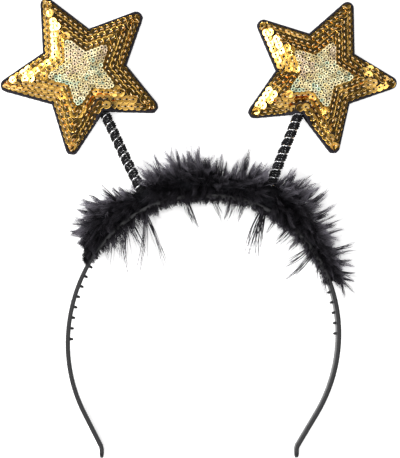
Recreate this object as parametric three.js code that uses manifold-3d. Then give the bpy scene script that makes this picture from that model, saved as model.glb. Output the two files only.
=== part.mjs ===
// Star headband, lying on its back as it is put down: a toothed plastic band, a feather trim over
// its crown, and two padded sequin stars on wire springs that are wound with black cord.
// Millimetres. +Z is up from the surface, +Y runs from the tips of the band to the stars.
// While it is being drawn, x = 0 is the middle of the band and y = 0 the top of its crown.
import * as THREE from "three";
import { mergeVertices } from "three/addons/utils/BufferGeometryUtils.js";
import Module from "manifold-3d";

const wasm = await Module();
wasm.setup();

// Driving dimensions

const GAP = 0.3; // clearance between neighbouring pieces

const BAND = {
  thickness: 2.0,
  depth: 8.0, // front to back at the crown, which is upright as the band lies
  tipDepth: 5.0,
  bevel: 0.5,
  crownFlat: 5.2, // straight stretch at the top of the crown, where there is no tooth
  crownHeight: 10.0, // middle of the band above the surface, at the crown
  legRadius: 74.0,
  bendRadius: 4.0,
  tip: 4.0,
};

// One row for each leg: its outer face at the widest, how far below the crown that is, how far the leg
// leans in, and its straight run.
const LEGS = [
  { side: -1, halfWidth: 65.8, drop: 71.5, leanDeg: 26.5, straight: 17.6 },
  { side: 1, halfWidth: 65.4, drop: 67.8, leanDeg: 30.6, straight: 17.6 },
];

// The band is drawn in straight stretches of about one pitch, with a tooth in the middle of each.
const TOOTH = { radius: 0.65, length: 1.6, sunk: 0.5, pitch: 5.2, perLeg: 20, sides: 5 };

const SPRING = {
  wire: 0.6, // diameter of the bright wire
  wireRadius: 1.75, // of the coil, to the middle of the wire
  cordRadius: 2.45, // of the coil of cord, to its crests
  cordCore: 1.3, // of the coil of cord, to its inner side
  strands: 3, // strands side by side in the cord
  strandWidth: 1.05,
  groove: 0.3, // depth between two strands
  pitch: 4.15,
  stepsPerTurn: 8,
  footGap: 0.6,
  pocketDepth: 4.5, // length inside the star
};

const STAR = {
  tipRadius: 44.0, // of the sharp tip, before it is rounded
  notchRadius: 21.2,
  tipRounding: 3.2,
  innerRounding: 0.9, // the least, on lines inside the edge
  tipPoints: 3,
  felt: 1.5,
  edgingWidth: 1.7,
  edgingHeight: 1.5,
  mouthLift: 6.0, // how far the front is raised over the spring
};

// Distances from the mouth, along the edge of the star, and the share of the lift that is left there.
const MOUTH = [
  { along: 4.2, share: 0.85 },
  { along: 8.5, share: 0 },
];

// One row for each star: where it lies, how it is turned, its size against the driving one, how far
// from the crown its spring stands on the band, and how far beside the notch the spring goes in.
const STARS = [
  { name: "left", x: -57.8, y: 57.9, turnDeg: 27.9, size: 1.0, foot: -27.3, aside: 0 },
  { name: "right", x: 55.1, y: 57.2, turnDeg: -23.8, size: 0.968, foot: 27.9, aside: -1.2 },
];

// Courses of gold sequins, from the edge inwards. Scale is the course's outer edge as a share of the
// star's outline, and rise is the height of the padding there.
const COURSES = [
  { scale: 0.89, rise: 1.5 },
  { scale: 0.795, rise: 3.3 },
  { scale: 0.685, rise: 4.9 },
  { scale: 0.575, rise: 6.2 },
];
const COURSE_LIP = 0.5;
const INSET = { scale: 0.465, rise: 7.2, seat: 1.1, thickness: 1.0, crown: 0.7, crownScale: 0.2 };

const TRIM = {
  left: 66, // along the band from the crown to its end
  right: 80,
  sections: 27,
  radius: 10.0,
  centre: 4.5, // how far it sits outside the middle of the band
  slotReach: -5.0, // how far it hangs past the middle of the band on the head side
  lumps: 1.3,
  arcPoints: 10,
  arcDeg: 148,
};
// How full the trim is along the band: distance from the crown, and the share of its radius there
const FULLNESS = [
  [-66, 0.45],
  [-58, 0.75],
  [-44, 0.85],
  [-36, 0.7],
  [-29, 0.55],
  [-20, 0.9],
  [2, 1.0],
  [9, 0.75],
  [18, 0.95],
  [30, 1.1],
  [42, 1.1],
  [52, 0.7],
  [62, 0.55],
  [80, 0.45],
];
const LOCK = {
  count: 53,
  sides: 5,
  radius: 3.1,
  length: 10.5,
  sunk: 2.6,
  lean: 0.7, // along the band, against 1 outwards
  fromDeg: -25,
  toDeg: 125,
};
const END_LOCK = { inset: 3.5, lean: 1.2, degs: [-30, 5, 40, 75, 110] };

// Helpers that make and join solids

const rad = THREE.MathUtils.degToRad;
const smooth = (t) => THREE.MathUtils.smoothstep(t, 0, 1);

// Repeatable numbers from 0 to 1, so that the feathers are the same each time.
function makeRandom(seed) {
  let state = seed;
  return () => {
    state = (state * 1664525 + 1013904223) % 4294967296;
    return state / 4294967296;
  };
}

// A closed mesh through rings of points. Open ends are filled, from their middle where fan is set, and a
// closed loop joins its ends.
function loft(rings, { closed = false, fan = false } = {}) {
  const n = rings[0].length;
  const points = rings.flat();
  const triangles = [];
  const last = closed ? rings.length : rings.length - 1;
  for (let i = 0; i < last; i++) {
    const a = i * n;
    const b = ((i + 1) % rings.length) * n;
    for (let j = 0; j < n; j++) {
      const k = (j + 1) % n;
      triangles.push(a + j, a + k, b + k, a + j, b + k, b + j);
    }
  }
  if (!closed) {
    const end = (rings.length - 1) * n;
    const fillEnd = fan ? (ring) => fillFromMiddle(ring, points) : fill;
    for (const [p, q, r] of fillEnd(rings[0])) triangles.push(p, r, q);
    const shift = (i) => (i < n ? end + i : i);
    for (const corners of fillEnd(rings.at(-1))) triangles.push(...corners.map(shift));
  }
  const geometry = new THREE.BufferGeometry().setFromPoints(points);
  geometry.setIndex(triangles);
  return facingOut(geometry);
}

// Triangles that fill one flat ring, turning the same way as the ring.
function fill(ring) {
  const normal = new THREE.Vector3();
  ring.forEach((p, i) => normal.add(p.clone().cross(ring[(i + 1) % ring.length])));
  normal.normalize();
  const across = ring[1].clone().sub(ring[0]).normalize();
  const up = normal.clone().cross(across);
  const flat = ring.map((p) => new THREE.Vector2(p.dot(across), p.dot(up)));
  return THREE.ShapeUtils.triangulateShape(flat, []);
}

// The same for a ring that can all be seen from its middle, which is added to the points.
function fillFromMiddle(ring, points) {
  const middle = new THREE.Vector3();
  ring.forEach((p) => middle.addScaledVector(p, 1 / ring.length));
  points.push(middle);
  return ring.map((_, i) => [i, (i + 1) % ring.length, points.length - 1]);
}

function signedVolume(geometry) {
  const at = geometry.attributes.position;
  const index = geometry.index.array;
  const corner = [0, 1, 2].map(() => new THREE.Vector3());
  let sum = 0;
  for (let i = 0; i < index.length; i += 3) {
    corner.forEach((c, k) => c.fromBufferAttribute(at, index[i + k]));
    sum += corner[0].dot(corner[1].cross(corner[2])) / 6;
  }
  return sum;
}

function facingOut(geometry) {
  if (signedVolume(geometry) < 0) {
    const index = geometry.index.array;
    for (let i = 0; i < index.length; i += 3) [index[i + 1], index[i + 2]] = [index[i + 2], index[i + 1]];
  }
  return geometry;
}

function toSolid(geometry) {
  const bare = geometry.clone();
  bare.deleteAttribute("normal");
  bare.deleteAttribute("uv");
  const merged = mergeVertices(bare, 1e-4);
  return new wasm.Manifold(
    new wasm.Mesh({
      numProp: 3,
      vertProperties: new Float32Array(merged.attributes.position.array),
      triVerts: new Uint32Array(merged.index.array),
    }),
  );
}

function toGeometry(solid) {
  const mesh = solid.getMesh();
  const geometry = new THREE.BufferGeometry();
  geometry.setAttribute("position", new THREE.BufferAttribute(mesh.vertProperties, mesh.numProp));
  geometry.setIndex(new THREE.BufferAttribute(mesh.triVerts, 1));
  return geometry;
}

function part(name, geometry, colour, roughness, metalness) {
  const flat = geometry.index ? geometry.toNonIndexed() : geometry;
  flat.computeVertexNormals();
  const mesh = new THREE.Mesh(flat, new THREE.MeshStandardMaterial({ color: colour, roughness, metalness }));
  mesh.name = name;
  return mesh;
}

// Band

// The middle line of one leg, from the crown to its tip, drawn on the right and then put on its side.
function legLine({ side, halfWidth, drop, leanDeg, straight }) {
  const lean = rad(leanDeg);
  const half = halfWidth - BAND.thickness / 2;
  const flat = BAND.crownFlat / 2;
  const legCentre = new THREE.Vector2(half - BAND.legRadius, -drop);
  const along = new THREE.Vector2(-Math.sin(lean), -Math.cos(lean));
  const out = new THREE.Vector2(Math.cos(lean), -Math.sin(lean));
  const bendStart = legCentre.clone().addScaledVector(out, BAND.legRadius).addScaledVector(along, straight);
  const bendCentre = bendStart.clone().addScaledVector(out, BAND.bendRadius);
  const line = new THREE.Path();
  line.absellipse(flat, -drop, half - flat, drop - BAND.thickness / 2, Math.PI / 2, 0, true);
  line.absarc(legCentre.x, legCentre.y, BAND.legRadius, 0, -lean, true);
  line.lineTo(bendStart.x, bendStart.y);
  line.absarc(bendCentre.x, bendCentre.y, BAND.bendRadius, Math.PI - lean, Math.PI, false);
  line.lineTo(bendCentre.x - BAND.bendRadius, bendCentre.y - BAND.tip);
  const length = line.getLength();
  const steps = Math.round(length / TOOTH.pitch);
  return { side, line, length, steps, step: length / steps };
}

const legs = LEGS.map(legLine);
const lowestTip = Math.min(...legs.map(({ line }) => line.getPoint(1).y));

// The band at a distance from the crown, negative on the left: its middle, the way out of it, and its depth.
function bandAt(distance) {
  const { side, line, length } = legs[distance < 0 ? 0 : 1];
  const share = Math.min((Math.abs(distance) - BAND.crownFlat / 2) / length, 1);
  if (share < 0) {
    return place(distance, -BAND.thickness / 2, 0, 1, BAND.depth);
  }
  const p = line.getPointAt(share);
  const t = line.getTangentAt(share);
  const depth = THREE.MathUtils.lerp(BAND.depth, BAND.tipDepth, smooth((share - 0.45) / 0.5));
  return place(side * p.x, p.y, -side * t.y, side * (side * t.x), depth);
}

function place(x, y, outX, outY, depth) {
  const share = (y - lowestTip) / -lowestTip;
  const z = THREE.MathUtils.lerp(BAND.tipDepth / 2, BAND.crownHeight, share);
  return { middle: new THREE.Vector3(x, y, z), out: new THREE.Vector3(outX, outY, 0), depth };
}

function bandRing(distance, grow) {
  const { middle, out, depth } = bandAt(distance);
  const t = BAND.thickness / 2 + grow;
  const d = depth / 2 + grow;
  const b = BAND.bevel;
  const corners = [
    [t - b, d], [t, d - b], [t, b - d], [t - b, -d], [b - t, -d], [-t, b - d], [-t, d - b], [b - t, d],
  ];
  return corners.map(([o, up]) => middle.clone().addScaledVector(out, o).setZ(middle.z + up));
}

// The plain band, or the room that it takes up when it is grown.
function bandBody(grow = 0) {
  const stations = [];
  for (const { side, steps, step } of legs) {
    const distances = Array.from({ length: steps + 1 }, (_, i) => side * (BAND.crownFlat / 2 + i * step));
    stations.push(...(side < 0 ? distances.reverse() : distances));
  }
  return toSolid(loft(stations.map((d) => bandRing(d, grow))));
}

function makeBand() {
  let band = bandBody();
  for (const { side, step } of legs) {
    for (let i = 0; i < TOOTH.perLeg; i++) {
      band = band.add(makeTooth(side * (BAND.crownFlat / 2 + (i + 0.5) * step)));
    }
  }
  return part("band", toGeometry(band), 0x1b1b1d, 0.42, 0);
}

function makeTooth(distance) {
  const { middle, out } = bandAt(distance);
  const profile = [
    [0, -TOOTH.sunk],
    [TOOTH.radius, -TOOTH.sunk],
    [0.9 * TOOTH.radius, 0.65 * TOOTH.length],
    [0, TOOTH.length],
  ];
  const peg = new THREE.LatheGeometry(profile.map(([r, y]) => new THREE.Vector2(r, y)), TOOTH.sides);
  const inwards = out.clone().negate();
  peg.applyQuaternion(new THREE.Quaternion().setFromUnitVectors(new THREE.Vector3(0, 1, 0), inwards));
  const root = middle.clone().addScaledVector(inwards, BAND.thickness / 2);
  peg.translate(root.x, root.y, root.z);
  return toSolid(peg);
}

// Springs

class Coil extends THREE.Curve {
  constructor(radius, from, to, start) {
    super();
    Object.assign(this, { radius, from, to, start });
  }

  getPoint(t, target = new THREE.Vector3()) {
    const z = THREE.MathUtils.lerp(this.from, this.to, t);
    const angle = (2 * Math.PI * (z - this.start)) / SPRING.pitch;
    return target.set(this.radius * Math.cos(angle), this.radius * Math.sin(angle), z);
  }
}

// The line that a spring follows, from the outer face of the band to the inside of its star.
function springLine({ x, y, turnDeg, size, foot, aside }) {
  const { middle, out } = bandAt(foot);
  const start = middle.clone().addScaledVector(out, BAND.thickness / 2 + SPRING.footGap);
  const height = STAR.felt + 2 * GAP + SPRING.cordRadius;
  const mouth = new THREE.Vector3(aside, -STAR.notchRadius * size, height);
  mouth.applyAxisAngle(new THREE.Vector3(0, 0, 1), rad(turnDeg)).add(new THREE.Vector3(x, y, 0));
  const way = mouth.clone().sub(start);
  const length = way.length() + SPRING.pocketDepth;
  way.normalize();
  const turn = new THREE.Quaternion().setFromUnitVectors(new THREE.Vector3(0, 0, 1), way);
  return { length, matrix: new THREE.Matrix4().compose(start, turn, new THREE.Vector3(1, 1, 1)) };
}

// The bright wire lies in the space that the cord leaves between its turns.
function makeWire(length) {
  const coil = new Coil(SPRING.wireRadius, SPRING.wire, length - SPRING.wire, SPRING.pitch / 2);
  const steps = Math.round(((length - 2 * SPRING.wire) / SPRING.pitch) * SPRING.stepsPerTurn);
  const corners = Array.from({ length: 5 }, (_, i) => (i / 5) * 2 * Math.PI);
  const round = new THREE.Shape(
    corners.map((a) => new THREE.Vector2((SPRING.wire / 2) * Math.cos(a), (SPRING.wire / 2) * Math.sin(a))),
  );
  return new THREE.ExtrudeGeometry(round, { steps, extrudePath: coil, bevelEnabled: false });
}

// The cord is a flat run of strands, wound side by side.
function makeCord(length) {
  const half = (SPRING.strands * SPRING.strandWidth) / 2;
  const section = [[SPRING.cordCore, -0.9 * half], [SPRING.cordCore, 0.9 * half]];
  for (let i = 0; i < 2 * SPRING.strands - 1; i++) {
    const radius = i % 2 ? SPRING.cordRadius - SPRING.groove : SPRING.cordRadius;
    section.push([radius, half - ((i + 1) * SPRING.strandWidth) / 2]);
  }
  const run = length - 2 * half;
  const steps = Math.round((run / SPRING.pitch) * SPRING.stepsPerTurn);
  const rings = [];
  for (let i = 0; i <= steps; i++) {
    const z = half + (i / steps) * run;
    const angle = (2 * Math.PI * z) / SPRING.pitch;
    const way = new THREE.Vector3(Math.cos(angle), Math.sin(angle), 0);
    rings.push(section.map(([r, up]) => way.clone().multiplyScalar(r).setZ(z + up)));
  }
  return loft(rings);
}

// The room that a spring takes up, with its clearance.
function springRoom({ length, matrix }) {
  const radius = SPRING.cordRadius + GAP;
  const room = new THREE.CylinderGeometry(radius, radius, length + 2 * GAP, 12);
  room.rotateX(Math.PI / 2);
  room.translate(0, 0, length / 2);
  return room.applyMatrix4(matrix);
}

function makeSpring(star) {
  const line = springLine(star);
  const spring = new THREE.Group();
  spring.name = `spring_${star.name}`;
  spring.applyMatrix4(line.matrix);
  spring.add(part(`spring_wire_${star.name}`, makeWire(line.length), 0xc9c9cc, 0.25, 1));
  spring.add(part(`spring_cord_${star.name}`, makeCord(line.length), 0x111112, 0.8, 0));
  return spring;
}

// Stars

const polar = (radius, deg) => new THREE.Vector2(radius * Math.cos(rad(deg)), radius * Math.sin(rad(deg)));

// An outline of an upright star at a scale, from the notch where its spring goes in. Its tips are less
// round further in, so that the lines run side by side. Each point has its share of the lift.
function starOutline(scale) {
  const lessRound = STAR.tipRounding - (1 - scale) * EDGE_DISTANCE;
  const rounding = Math.max(lessRound, STAR.innerRounding) / scale;
  const points = [];
  for (let arm = 0; arm < 5; arm++) {
    const notchDeg = -90 + 72 * arm;
    const notch = polar(STAR.notchRadius, notchDeg);
    const next = polar(STAR.notchRadius, notchDeg + 72);
    const tip = polar(STAR.tipRadius, notchDeg + 36);
    points.push({ at: notch, lift: arm === 0 ? 1 : 0 });
    if (arm === 0) {
      for (const row of MOUTH) points.push(mouthPoint(notch, tip, row));
    }
    const half = tip.angleTo(tip.clone().sub(next));
    const middle = polar(STAR.tipRadius - rounding / Math.sin(half), notchDeg + 36);
    for (let i = 0; i < STAR.tipPoints; i++) {
      const sweep = (90 - THREE.MathUtils.radToDeg(half)) * ((2 * i) / (STAR.tipPoints - 1) - 1);
      points.push({ at: middle.clone().add(polar(rounding, notchDeg + 36 + sweep)), lift: 0 });
    }
    if (arm === 4) {
      for (const row of MOUTH.toReversed()) points.push(mouthPoint(next, tip, row));
    }
  }
  return points;
}

function mouthPoint(notch, tip, { along, share }) {
  const way = tip.clone().sub(notch).normalize();
  return { at: notch.clone().addScaledVector(way, along), lift: share };
}

// How far the straight edges of the star are from its middle.
function edgeDistance() {
  const notch = polar(STAR.notchRadius, 0);
  const tip = polar(STAR.tipRadius, 36);
  return Math.abs(notch.cross(tip)) / notch.distanceTo(tip);
}

const EDGE_DISTANCE = edgeDistance();
const EDGING_SCALE = 1 - STAR.edgingWidth / EDGE_DISTANCE;
const FRONT_BASE = STAR.felt + GAP;

// A ring of the star at a scale and height. The lift over the spring fades out towards the middle.
function starRing(scale, z, size, lifted = 0) {
  const fade = lifted * STAR.mouthLift * smooth((scale - 0.55) / 0.3);
  return starOutline(scale).map(({ at, lift }) => {
    const flat = at.clone().multiplyScalar(scale * size);
    return new THREE.Vector3(flat.x, flat.y, z + lift * fade);
  });
}

function makeEdging(size) {
  const top = FRONT_BASE + STAR.edgingHeight;
  const section = [
    [1, FRONT_BASE],
    [0.995, top - 0.4],
    [(1 + EDGING_SCALE) / 2, top],
    [EDGING_SCALE, FRONT_BASE],
  ];
  const lines = section.map(([scale, z]) => starRing(scale, z, size, 1));
  return loft(lines[0].map((_, i) => lines.map((line) => line[i])), { closed: true });
}

// The padded front rises in courses, each with a lip over the one outside it, to the seat of the inset.
function makeFront(size) {
  const rows = [];
  for (const [i, { scale, rise }] of [...COURSES, INSET].entries()) {
    rows.push([scale, rise - (i === 0 ? rise / 2 : COURSE_LIP)], [scale - 0.006, rise]);
  }
  const seat = INSET.rise - INSET.seat;
  rows.push([INSET.scale - 0.02, seat], [INSET.crownScale, seat + INSET.crown]);
  const rings = rows.map(([scale, rise]) => starRing(scale, FRONT_BASE + rise, size, 1));
  return loft([starRing(COURSES[0].scale, FRONT_BASE, size), ...rings], { fan: true });
}

function makeInset(size) {
  const bottom = FRONT_BASE + INSET.rise - INSET.seat + GAP;
  const edge = INSET.scale - 0.04;
  const middle = INSET.crownScale;
  const rows = [
    [middle, bottom + INSET.crown],
    [edge, bottom + 0.1],
    [edge, bottom + 0.7 * INSET.thickness],
    [edge - 0.05, bottom + INSET.thickness + 0.2],
    [middle, bottom + INSET.thickness + INSET.crown + 0.1],
    [middle / 2, bottom + INSET.thickness + INSET.crown + 0.4],
  ];
  return loft(rows.map(([scale, z]) => starRing(scale, z, size)), { fan: true });
}

function makeStar(star) {
  const { name, x, y, turnDeg, size } = star;
  const group = new THREE.Group();
  group.name = `star_${name}`;
  group.position.set(x, y, 0);
  group.rotation.z = rad(turnDeg);
  group.updateMatrix();
  const room = springRoom(springLine(star)).applyMatrix4(group.matrix.clone().invert());
  const front = toSolid(makeFront(size)).subtract(toSolid(room));
  const back = loft([starRing(1, 0, size), starRing(1, STAR.felt, size)], { fan: true });
  group.add(part(`star_back_${name}`, back, 0x141414, 0.95, 0));
  group.add(part(`star_edging_${name}`, makeEdging(size), 0x17171a, 0.8, 0));
  group.add(part(`star_front_${name}`, toGeometry(front), 0xb98a34, 0.3, 0.8));
  group.add(part(`star_inset_${name}`, makeInset(size), 0xe6e2cc, 0.25, 0.5));
  return group;
}

// Feather trim

const random = makeRandom(7);

// The trim thins out towards its two ends, most on the right, and dips at the foot of the left spring.
function trimTaper(distance) {
  const last = FULLNESS.length - 1;
  const next = FULLNESS.findIndex(([at], i) => i > 0 && (at >= distance || i === last));
  const [from, low] = FULLNESS[next - 1];
  const [to, high] = FULLNESS[next];
  return THREE.MathUtils.lerp(low, high, smooth((distance - from) / (to - from)));
}

function trimRadius(distance, theta) {
  const taper = trimTaper(distance);
  const lump = Math.sin(distance * 0.37 + 2 * theta) + 0.7 * Math.sin(distance * 0.83 - 3 * theta);
  return TRIM.radius * taper + TRIM.lumps * lump * taper;
}

// A point beside the band: out from its middle and up from it, and never below the surface.
function besideBand({ middle, out }, p, q) {
  const point = middle.clone().addScaledVector(out, p);
  return point.setZ(Math.max(middle.z + q, 0));
}

function trimRing(distance) {
  const spot = bandAt(distance);
  const wall = BAND.thickness / 2 + 1.5 * GAP;
  const side = spot.depth / 2 + 1.5 * GAP;
  const ring = [];
  for (let i = 0; i < TRIM.arcPoints; i++) {
    const theta = rad(TRIM.arcDeg) * ((2 * i) / (TRIM.arcPoints - 1) - 1);
    const radius = trimRadius(distance, theta);
    const end = i === 0 || i === TRIM.arcPoints - 1;
    const p = end ? TRIM.slotReach : TRIM.centre + radius * Math.cos(theta);
    const least = Math.abs(theta) > Math.PI / 2 ? side + 0.6 : 0;
    const q = end ? side + 0.3 : Math.max(radius * Math.abs(Math.sin(theta)), least);
    ring.push(besideBand(spot, p, Math.sign(theta) * q));
  }
  ring.push(besideBand(spot, wall, side), besideBand(spot, wall, -side));
  return ring;
}

// A lock is a tapered tuft that is rooted in the body of the trim and leans along the band.
function makeLock(distance, theta, lean) {
  const { middle, out } = bandAt(distance);
  const up = new THREE.Vector3(0, 0, 1);
  const way = out.clone().multiplyScalar(Math.cos(theta)).addScaledVector(up, Math.sin(theta));
  const reach = trimRadius(distance, theta) - LOCK.sunk;
  const root = middle.clone().addScaledVector(out, TRIM.centre).addScaledVector(way, reach);
  way.addScaledVector(out.clone().cross(up), lean).normalize();
  const short = (theta > rad(105) ? 0.6 : 1) * trimTaper(distance);
  const length = LOCK.length * (0.7 + 0.6 * random()) * short;
  const lock = new THREE.ConeGeometry(LOCK.radius * (0.8 + 0.4 * random()), length, LOCK.sides);
  lock.translate(0, length / 2, 0);
  lock.applyQuaternion(new THREE.Quaternion().setFromUnitVectors(new THREE.Vector3(0, 1, 0), way));
  lock.translate(root.x, root.y, root.z);
  return toSolid(lock);
}

function makeLocks() {
  const locks = [];
  for (let i = 0; i < LOCK.count; i++) {
    const distance = THREE.MathUtils.lerp(4 - TRIM.left, TRIM.right - 4, random());
    const theta = rad(THREE.MathUtils.lerp(LOCK.fromDeg, LOCK.toDeg, random()));
    locks.push(makeLock(distance, theta, LOCK.lean * (2 * random() - 1)));
  }
  for (const deg of END_LOCK.degs) {
    locks.push(makeLock(END_LOCK.inset - TRIM.left, rad(deg), -END_LOCK.lean));
    locks.push(makeLock(TRIM.right - END_LOCK.inset, rad(deg), END_LOCK.lean));
  }
  return locks;
}

function makeTrim() {
  const step = (TRIM.left + TRIM.right) / TRIM.sections;
  const distances = Array.from({ length: TRIM.sections + 1 }, (_, i) => i * step - TRIM.left);
  let trim = toSolid(loft(distances.map(trimRing)));
  for (const lock of makeLocks()) trim = trim.add(lock);
  trim = trim.subtract(bandBody(GAP));
  for (const star of STARS) trim = trim.subtract(toSolid(springRoom(springLine(star))));
  return part("feather_trim", toGeometry(trim), 0x0d0d0f, 0.9, 0);
}

// The whole headband, with the middle of its underside at the origin

const headband = new THREE.Group();
headband.name = "star_headband";
headband.add(makeBand());
headband.add(makeTrim());
for (const star of STARS) headband.add(makeSpring(star), makeStar(star));
headband.updateMatrixWorld(true);
const box = new THREE.Box3().setFromObject(headband, true);
const middle = box.getCenter(new THREE.Vector3());
headband.position.set(-middle.x, -middle.y, -box.min.z);
headband.updateMatrixWorld(true);

const group = new THREE.Group();
group.add(headband);
export default group;
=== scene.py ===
# %% [markdown]
# # A star headband, dressed piece by piece
#
# The headband lies on its back on a pale table. It is a black plastic band with comb teeth, a trim of
# black down over the crown, and two padded stars covered in sequins, each on a spring wound with cord.
# The solids were drawn beforehand, in metres and with +Z up from the table. This lesson gives every one
# of them its real surface, in the same place. The sizes below are in millimetres and start from the
# top of the crown, because that is how a maker measures the band.

import math

import bpy
import numpy as np
from mathutils import Matrix, Vector
from mathutils.bvhtree import BVHTree


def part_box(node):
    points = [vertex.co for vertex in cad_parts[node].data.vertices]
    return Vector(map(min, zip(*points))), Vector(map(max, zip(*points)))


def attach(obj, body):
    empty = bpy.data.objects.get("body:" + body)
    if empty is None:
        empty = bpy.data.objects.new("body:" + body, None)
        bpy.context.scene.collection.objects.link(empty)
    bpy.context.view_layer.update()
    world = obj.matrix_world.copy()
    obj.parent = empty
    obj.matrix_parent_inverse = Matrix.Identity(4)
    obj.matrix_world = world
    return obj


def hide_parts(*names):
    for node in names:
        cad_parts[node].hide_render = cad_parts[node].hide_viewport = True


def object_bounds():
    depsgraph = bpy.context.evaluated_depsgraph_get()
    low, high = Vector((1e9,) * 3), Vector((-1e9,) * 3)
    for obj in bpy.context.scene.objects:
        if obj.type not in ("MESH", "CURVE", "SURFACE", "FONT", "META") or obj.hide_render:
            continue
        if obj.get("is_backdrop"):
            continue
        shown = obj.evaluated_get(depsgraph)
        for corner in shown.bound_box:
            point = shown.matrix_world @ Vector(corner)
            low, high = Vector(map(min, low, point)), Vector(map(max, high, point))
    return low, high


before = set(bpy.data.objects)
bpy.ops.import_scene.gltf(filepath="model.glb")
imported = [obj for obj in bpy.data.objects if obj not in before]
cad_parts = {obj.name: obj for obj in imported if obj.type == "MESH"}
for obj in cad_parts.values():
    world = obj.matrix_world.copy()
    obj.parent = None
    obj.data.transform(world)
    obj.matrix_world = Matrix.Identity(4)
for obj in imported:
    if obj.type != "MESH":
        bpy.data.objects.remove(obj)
solids_low, solids_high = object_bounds()
band_low, band_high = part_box("band")
MM = 0.001
LEFT_HALF = 65.8
CROWN = np.array([band_low.x / MM + LEFT_HALF, band_high.y / MM, 0.0])
rng = np.random.default_rng(11)
print("crown of the band at", CROWN.round(2), "mm")

# %% [markdown]
# ## A few helpers
#
# Blender can build a mesh from lists of corners, but a trim of down has hundreds of thousands of them,
# so the meshes here are filled from arrays. Each piece takes one finish, and the solids that it stands for
# are hidden. All of them ride on the one body, since nothing on a headband turns on a hinge.

# %% Meshes from arrays
UP = np.array([0.0, 0.0, 1.0])


def unit(vectors):
    return vectors / np.linalg.norm(vectors, axis=-1, keepdims=True)


def full_turn(sides):
    return np.linspace(0, 2 * math.pi, sides, endpoint=False)


def distances(line):
    """How far along a line each of its points is."""
    return np.concatenate([[0], np.cumsum(np.linalg.norm(np.diff(line, axis=0), axis=1))])


def smooth_step(t):
    t = np.clip(t, 0.0, 1.0)
    return t * t * (3 - 2 * t)


def fill_mesh(name, points, faces, chart=None):
    mesh = bpy.data.meshes.new(name)
    corners = np.concatenate([f.ravel() for f in faces]).astype(np.int32)
    counts = np.concatenate([np.full(len(f), f.shape[1]) for f in faces])
    starts = np.concatenate([[0], np.cumsum(counts)[:-1]]).astype(np.int32)
    mesh.vertices.add(len(points))
    mesh.vertices.foreach_set("co", ((points + CROWN) * MM).astype(np.float32).ravel())
    mesh.loops.add(len(corners))
    mesh.loops.foreach_set("vertex_index", corners)
    mesh.polygons.add(len(starts))
    mesh.polygons.foreach_set("loop_start", starts)
    mesh.update(calc_edges=True)
    if chart is not None:
        layer = mesh.uv_layers.new(name="OFBake")
        layer.uv.foreach_set("vector", chart[corners].astype(np.float32).ravel())
    return mesh


def new_piece(name, points, faces, finish, nodes, smooth=True, chart=None):
    mesh = fill_mesh(name, points, faces, chart)
    mesh.polygons.foreach_set("use_smooth", np.full(len(mesh.polygons), smooth))
    mesh.materials.append(finish)
    piece = bpy.data.objects.new(name, mesh)
    bpy.context.collection.objects.link(piece)
    return settle(piece, nodes)


def settle(piece, nodes):
    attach(piece, "root")
    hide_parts(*nodes)
    print(piece.name, "has", len(piece.data.polygons), "faces")
    return piece


# %% Rows of points joined by faces


def net(rows, columns, wrap=True):
    """Four-cornered faces over rows of points. With wrap, each row is a ring."""
    across = columns if wrap else columns - 1
    i, j = np.meshgrid(np.arange(rows - 1), np.arange(across), indexing="ij")
    a = i * columns + j
    b = i * columns + (j + 1) % columns
    return np.stack([a, b, b + columns, a + columns], axis=-1).reshape(-1, 4)


def fan(ring_start, columns, middle, flip=False):
    j = np.arange(columns)
    ring = np.stack([ring_start + j, ring_start + (j + 1) % columns], axis=-1)
    if flip:
        ring = ring[:, ::-1]
    return np.column_stack([ring, np.full(columns, middle)])


def closed(rings, middles, flip=False):
    """Rings joined in a row, with a fan over the first and the last, as points, quads and triangles."""
    rows, sides = rings.shape[:2]
    count = rows * sides
    ends = np.concatenate([fan(0, sides, count, True), fan(count - sides, sides, count + 1)])
    step = -1 if flip else 1
    return np.concatenate([rings.reshape(-1, 3), middles]), net(rows, sides)[:, ::step], ends[:, ::step]


def tube(line, radius, sides, lean):
    """A round strand along a line. The lean is a direction that the line never runs along."""
    ahead = unit(np.gradient(line, axis=0))
    across = unit(np.cross(ahead, lean))
    over = np.cross(across, ahead)
    turn = full_turn(sides)[None, :, None]
    rings = line[:, None] + radius * (np.cos(turn) * across[:, None] + np.sin(turn) * over[:, None])
    return closed(rings, line[[0, -1]], flip=True)


def join(shapes):
    """Several (points, quads, triangles) in one."""
    points, quads, triangles, start = [], [], [], 0
    for p, q, t in shapes:
        points.append(p)
        quads.append(q + start)
        triangles.append(t + start)
        start += len(p)
    return np.concatenate(points), [np.concatenate(quads), np.concatenate(triangles)]


# %% [markdown]
# ## Writing finishes as sums
#
# A finish is a small network of nodes. Wiring it by hand hides the sums in it, so one class wraps a
# socket and lets it be added, multiplied, divided or taken from 1 like a number. Everything else, such as
# noise or a colour ramp, comes from one method that takes the node's type, its settings and its sockets.
# Most of the finishes are alike, with one noise for bump, colour and roughness. One function makes those.

# %% Sockets that can be added and multiplied


class Socket:
    def __init__(self, finish, socket):
        self.finish = finish
        self.socket = socket

    def sum_node(self, operation, a, b):
        return self.finish.node("ShaderNodeMath", {"operation": operation}, {0: a, 1: b})

    def __add__(self, other):
        return self.sum_node("ADD", self, other)

    def __radd__(self, other):
        return self.sum_node("ADD", other, self)

    def __rsub__(self, other):
        return self.sum_node("SUBTRACT", other, self)

    def __mul__(self, other):
        return self.sum_node("MULTIPLY", self, other)

    def __rmul__(self, other):
        return self.sum_node("MULTIPLY", other, self)

    def __truediv__(self, other):
        return self.sum_node("DIVIDE", self, other)


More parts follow.
